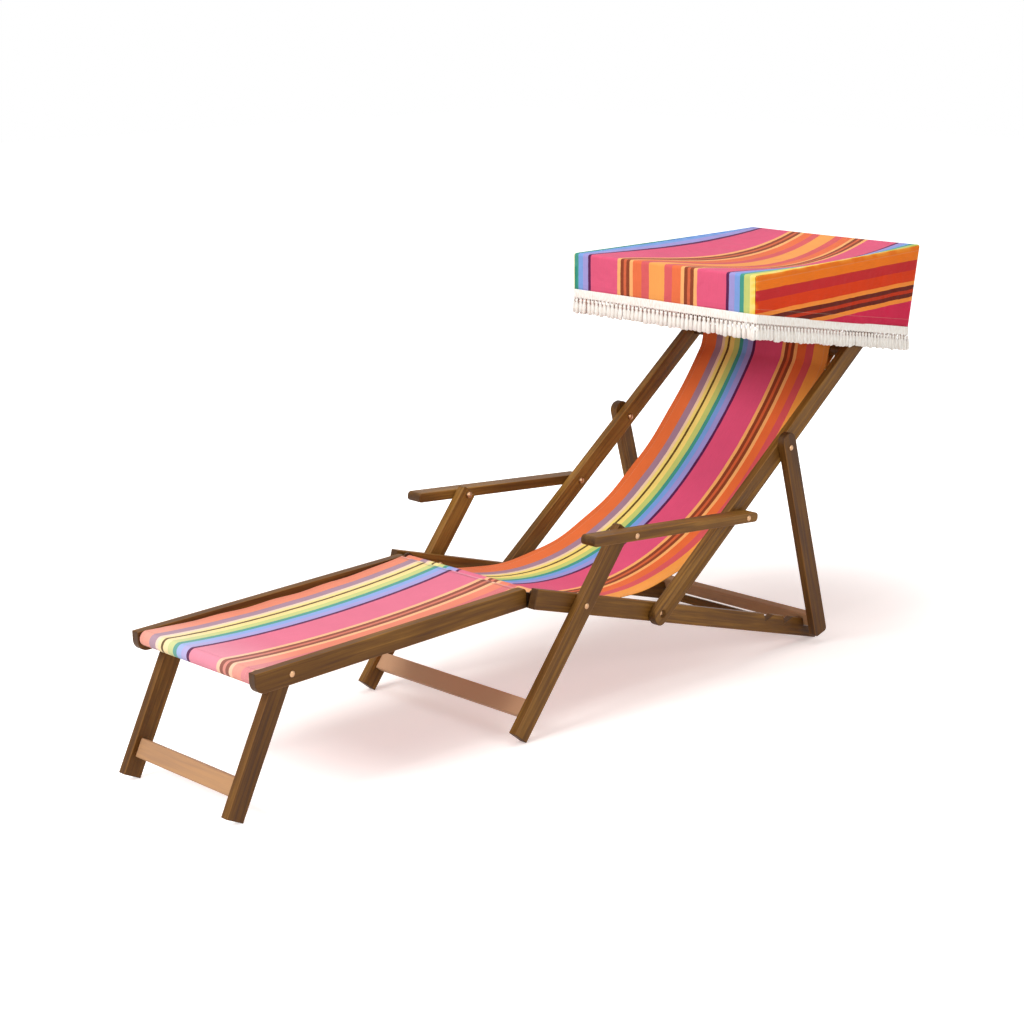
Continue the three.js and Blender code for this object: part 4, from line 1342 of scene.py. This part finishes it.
def striped_canvas(name, crumple):
    """Woven stripes. Where the painted light attribute is above 0 it mixes a pale tone into the
    light dyes, a painted highlight, and below 0 it makes all dyes deeper, a painted shade;
    "crumple" is the depth in metres of soft creases, where the cloth isn't drawn tight."""
    material, tree = new_material(name)
    fade = node(tree, "Attribute", out="Fac", attribute_name="fade")
    cloth = node(tree, "UVMap", uv_map="cloth")
    place = node(tree, "SeparateXYZ", {"Vector": cloth}).node.outputs
    edge = node(tree, "SeparateXYZ", {"Vector": node(tree, "UVMap", uv_map="hem")}).node.outputs
    yarn = node(tree, "TexNoise", {
        "Vector": node(tree, "Mapping", {"Vector": cloth, "Scale": (900, 30, 1)}),
        "Scale": 1.0, "Detail": 2.0}, noise_dimensions="2D")
    slow = node(tree, "TexNoise", {
        "Vector": cloth, "Scale": 9.0, "Detail": 3.0}, noise_dimensions="2D")

    # The dye: distance from the amber stripe's middle, with the yarn's and the cloth's wander.
    wobble = node(tree, "Math", {0: yarn, 1: 0.0012, 2: -0.0006}, operation="MULTIPLY_ADD")
    drift = node(tree, "Math", {0: slow, 1: 2.5 * crumple, 2: -1.25 * crumple},
                 operation="MULTIPLY_ADD")
    wander = node(tree, "Math", {0: wobble, 1: drift}, operation="ADD")
    distance = node(tree, "Math", {0: place["X"], 1: wander}, operation="ADD")
    distance = node(tree, "Math", {0: distance}, operation="ABSOLUTE")
    share = node(tree, "Math", {0: distance, 1: half_repeat}, operation="DIVIDE")
    dye = node(tree, "ValToRGB", {"Fac": share})
    shades(dye, stops, sharp=True)

    # The shade: ribs of the weave, uneven yarn, slow unevenness, and the doubled hem.
    ribs = []
    for axis in ("X", "Y"):
        turn = node(tree, "Math", {0: place[axis], 1: 2 * math.pi / weave_pitch},
                    operation="MULTIPLY")
        ribs.append(node(tree, "Math", {0: turn}, operation="SINE"))
    weave = node(tree, "Math", {0: ribs[0], 1: ribs[1]}, operation="MULTIPLY")
    doubled = node(tree, "Math", {0: edge["X"], 1: hem_edge}, operation="LESS_THAN")
    shade = 0.85
    for source, amount in ((weave, 0.035), (yarn, 0.16), (slow, 0.14), (doubled, -0.04)):
        shade = node(tree, "Math", {0: source, 1: amount, 2: shade}, operation="MULTIPLY_ADD")

    # The stitches: dashes in a row along the hem's inner edge.
    row = node(tree, "Math", {0: edge["X"], 1: hem_width}, operation="SUBTRACT")
    row = node(tree, "Math", {0: row}, operation="ABSOLUTE")
    row = node(tree, "Math", {0: row, 1: stitch_row_width / 2}, operation="LESS_THAN")
    dash = node(tree, "Math", {0: edge["Y"], 1: 1 / stitch_pitch}, operation="MULTIPLY")
    dash = node(tree, "Math", {0: dash}, operation="FRACT")
    dash = node(tree, "Math", {0: dash, 1: stitch_share}, operation="LESS_THAN")
    stitch = node(tree, "Math", {0: row, 1: dash}, operation="MULTIPLY")
    stitch = node(tree, "Math", {0: stitch, 1: 0.22}, operation="MULTIPLY")

    colour = node(tree, "VectorMath", {0: dye, "Scale": shade}, operation="SCALE")
    brightness = node(tree, "SeparateColor", {"Color": colour}, out="Blue", mode="HSV")
    # painted highlight: above 0 a pale tone is mixed into the light dyes
    painted_paling = node(tree, "Math", {0: fade, 1: 0.0}, operation="MAXIMUM")
    painted_paling = node(tree, "Math", {0: painted_paling, 1: brightness}, operation="MULTIPLY")
    colour = node(tree, "Mix", {
        "Factor": painted_paling, "A": colour, "B": linear("#f3e6ea")}, data_type="RGBA")
    # painted shade: below 0 a gamma above 1 makes all dyes deeper
    depth = node(tree, "Math", {0: fade, 1: 0.0}, operation="MINIMUM")
    depth = node(tree, "Math", {0: 1.0, 1: depth}, operation="SUBTRACT")
    colour = node(tree, "Gamma", {"Color": colour, "Gamma": depth})
    colour = node(tree, "Mix", {
        "Factor": stitch, "A": colour, "B": linear("#f3e3c8")}, data_type="RGBA")

    height = weave
    for source, amount in ((doubled, 1.6), (yarn, 0.6)):
        height = node(tree, "Math", {0: source, 1: amount, 2: height}, operation="MULTIPLY_ADD")
    creases = node(tree, "TexNoise", {
        "Vector": cloth, "Scale": 16.0, "Detail": 2.0, "Distortion": 0.25},
        noise_dimensions="2D")
    creased = node(tree, "Bump", {
        "Height": creases, "Strength": 1.0, "Distance": 4 * crumple})
    bump = node(tree, "Bump", {
        "Height": height, "Strength": 0.35, "Distance": 0.0004, "Normal": creased})
    shader = node(tree, "BsdfPrincipled", {
        "Base Color": colour, "Roughness": 0.82, "Normal": bump,
        "Sheen Weight": 0.06, "Sheen Roughness": 0.5, "Specular IOR Level": 0.2})
    node(tree, "OutputMaterial", {"Surface": shader})
    return material


tight_canvas = striped_canvas("striped_cotton_canvas_tight", 0.0004)
loose_canvas = striped_canvas("striped_cotton_canvas_loose", 0.0014)
coat([sling, footrest_canvas, *pockets], tight_canvas)
coat([cover], loose_canvas)

# %% [markdown]
# ### Cotton fringe
#
# Unbleached cotton cord and braid: a warm white, quite matt, with the twist of the threads
# as fine ribs. It shows shadows between the tassels more than any colour of its own.

# %% Cotton
def fringe_cotton():
    """A warm white whose fine upright ribs come from a noise stretched along the height."""
    material, tree = new_material("natural_cotton_cord")
    place = node(tree, "TexCoord", out="Object")
    ribs = node(tree, "TexNoise", {
        "Vector": node(tree, "Mapping", {"Vector": place, "Scale": (420, 420, 90)}),
        "Scale": 1.0, "Detail": 2.0})
    colour = node(tree, "ValToRGB", {"Fac": ribs})
    shades(colour, [(0.3, "#ece2d6"), (0.5, "#f8f2ea"), (0.7, "#fdfaf5")])
    bump = node(tree, "Bump", {"Height": ribs, "Strength": 0.4, "Distance": 0.0008})
    shader = node(tree, "BsdfPrincipled", {
        "Base Color": colour, "Roughness": 0.92, "Sheen Weight": 0.15,
        "Specular IOR Level": 0.2, "Normal": bump})
    node(tree, "OutputMaterial", {"Surface": shader})
    return material


coat(cotton, fringe_cotton())

# %% [markdown]
# ### Steel
#
# The bolts are zinc-plated steel with the warm, brassy tint of a passivated coating: bright, a
# little blurred, with small marks. The hooks have a brown, bronzed finish that has dulled.

# %% Steel
def plated_steel(name, light, dark, roughness):
    """Metal whose colour and roughness vary a little over a few millimetres."""
    material, tree = new_material(name)
    place = node(tree, "TexCoord", out="Object")
    marks = node(tree, "TexNoise", {"Vector": place, "Scale": 240.0, "Detail": 4.0})
    colour = node(tree, "Mix", {
        "Factor": marks, "A": linear(dark), "B": linear(light)}, data_type="RGBA")
    blur = node(tree, "MapRange", {
        "Value": marks, "From Min": 0.3, "From Max": 0.7,
        "To Min": roughness - 0.06, "To Max": roughness + 0.08})
    bump = node(tree, "Bump", {"Height": marks, "Strength": 0.1, "Distance": 0.0003})
    shader = node(tree, "BsdfPrincipled", {
        "Base Color": colour, "Roughness": blur, "Metallic": 1.0, "Normal": bump})
    node(tree, "OutputMaterial", {"Surface": shader})
    return material


hooks = [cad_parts["footrest_hook_" + side] for side in ("left", "right")]
for hook in hooks:
    hook.data.materials.clear()
coat(fittings, plated_steel("zinc_plated_steel", "#d2ab86", "#a57c58", 0.34))
coat(hooks, plated_steel("bronzed_steel", "#6b5442", "#3c2c20", 0.42))

# %% [markdown]
# ## Studio
#
# The chair stands on a white studio floor. The main light is a large soft one in front of the
# footrest, not quite 40 degrees high: it makes the faces that look forwards the brightest and
# throws the shadow to the rear. Weaker ones hang overhead and at the chair's left side, and
# the world is an even fill.
# The background must be white without more light on the chair: for camera, glossy and
# transmission rays the world is plain white, and the floor adds a glow to a matt surface that
# takes the shadow. The glow is faintly pink close to the chair, where the cloth colours the
# shadow, and plain white farther away.

# %% Floor
floor_half = 14.0
corners = np.array([(-1, -1, 0), (1, -1, 0), (1, 1, 0), (-1, 1, 0)]) * floor_half
floor = make_mesh("studio_floor", corners.astype(float), [[0, 1, 2, 3]])


def seen_rays(tree):
    """1 for camera, glossy and transmission rays, and 0 for those that carry light."""
    rays = node(tree, "LightPath").node.outputs
    seen = rays["Is Camera Ray"]
    for kind in ("Is Glossy Ray", "Is Transmission Ray"):
        seen = node(tree, "Math", {0: seen, 1: rays[kind]}, operation="MAXIMUM")
    return seen


floor_material, tree = new_material("studio_floor_white")
place = node(tree, "TexCoord", out="Object")
from_seat = node(tree, "VectorMath", {0: place, 1: (0, 0.25, 0)}, operation="SUBTRACT")
reach = node(tree, "VectorMath", {0: from_seat}, operation="LENGTH")
far = node(tree, "MapRange", {"Value": reach, "From Min": 0.7, "From Max": 1.8},
           interpolation_type="SMOOTHSTEP")
tint = node(tree, "Mix", {
    "Factor": far, "A": (0.42, 0.36, 0.35, 1), "B": (1, 1, 1, 1)}, data_type="RGBA")
matt = node(tree, "BsdfDiffuse", {"Color": linear("#f4f1ee")})
glow = node(tree, "Emission", {"Color": tint, "Strength": seen_rays(tree)})
both = node(tree, "AddShader", {0: matt, 1: glow})
node(tree, "OutputMaterial", {"Surface": both})
coat([floor], floor_material)

# %% Light
bpy.context.scene.view_settings.view_transform = "Standard"
world = bpy.data.worlds.new("studio")
bpy.context.scene.world = world
world.use_nodes = True
tree = world.node_tree
tree.nodes.clear()
fill = node(tree, "Background", {"Color": (1, 1, 1, 1), "Strength": 0.38})
backdrop = node(tree, "Background", {"Color": (1, 1, 1, 1), "Strength": 1.0})
sky = node(tree, "MixShader", {0: seen_rays(tree), 1: fill, 2: backdrop})
node(tree, "OutputWorld", {"Surface": sky})


def soft_light(name, place, target, size, watts):
    """A square area lamp that faces its target."""
    lamp = bpy.data.lights.new(name, "AREA")
    lamp.size = size
    lamp.energy = watts
    holder = bpy.data.objects.new(name, lamp)
    holder.location = place
    aim = Vector(target) - Vector(place)
    holder.rotation_euler = aim.to_track_quat("-Z", "Y").to_euler()
    bpy.context.collection.objects.link(holder)


soft_light("front", (-0.3, -3.9, 3.3), (0, 0, 0.3), 2.0, 150)
soft_light("overhead", (0.2, 0.2, 3.6), (0, 0, 0.3), 2.6, 40)
soft_light("side", (4.2, 0.2, 1.9), (0, 0.2, 0.6), 2.0, 50)
print("studio is lit")

# %% [markdown]
# ## Last update
#
# The scene is brought up to date once more.

# %% Update
bpy.context.view_layer.update()
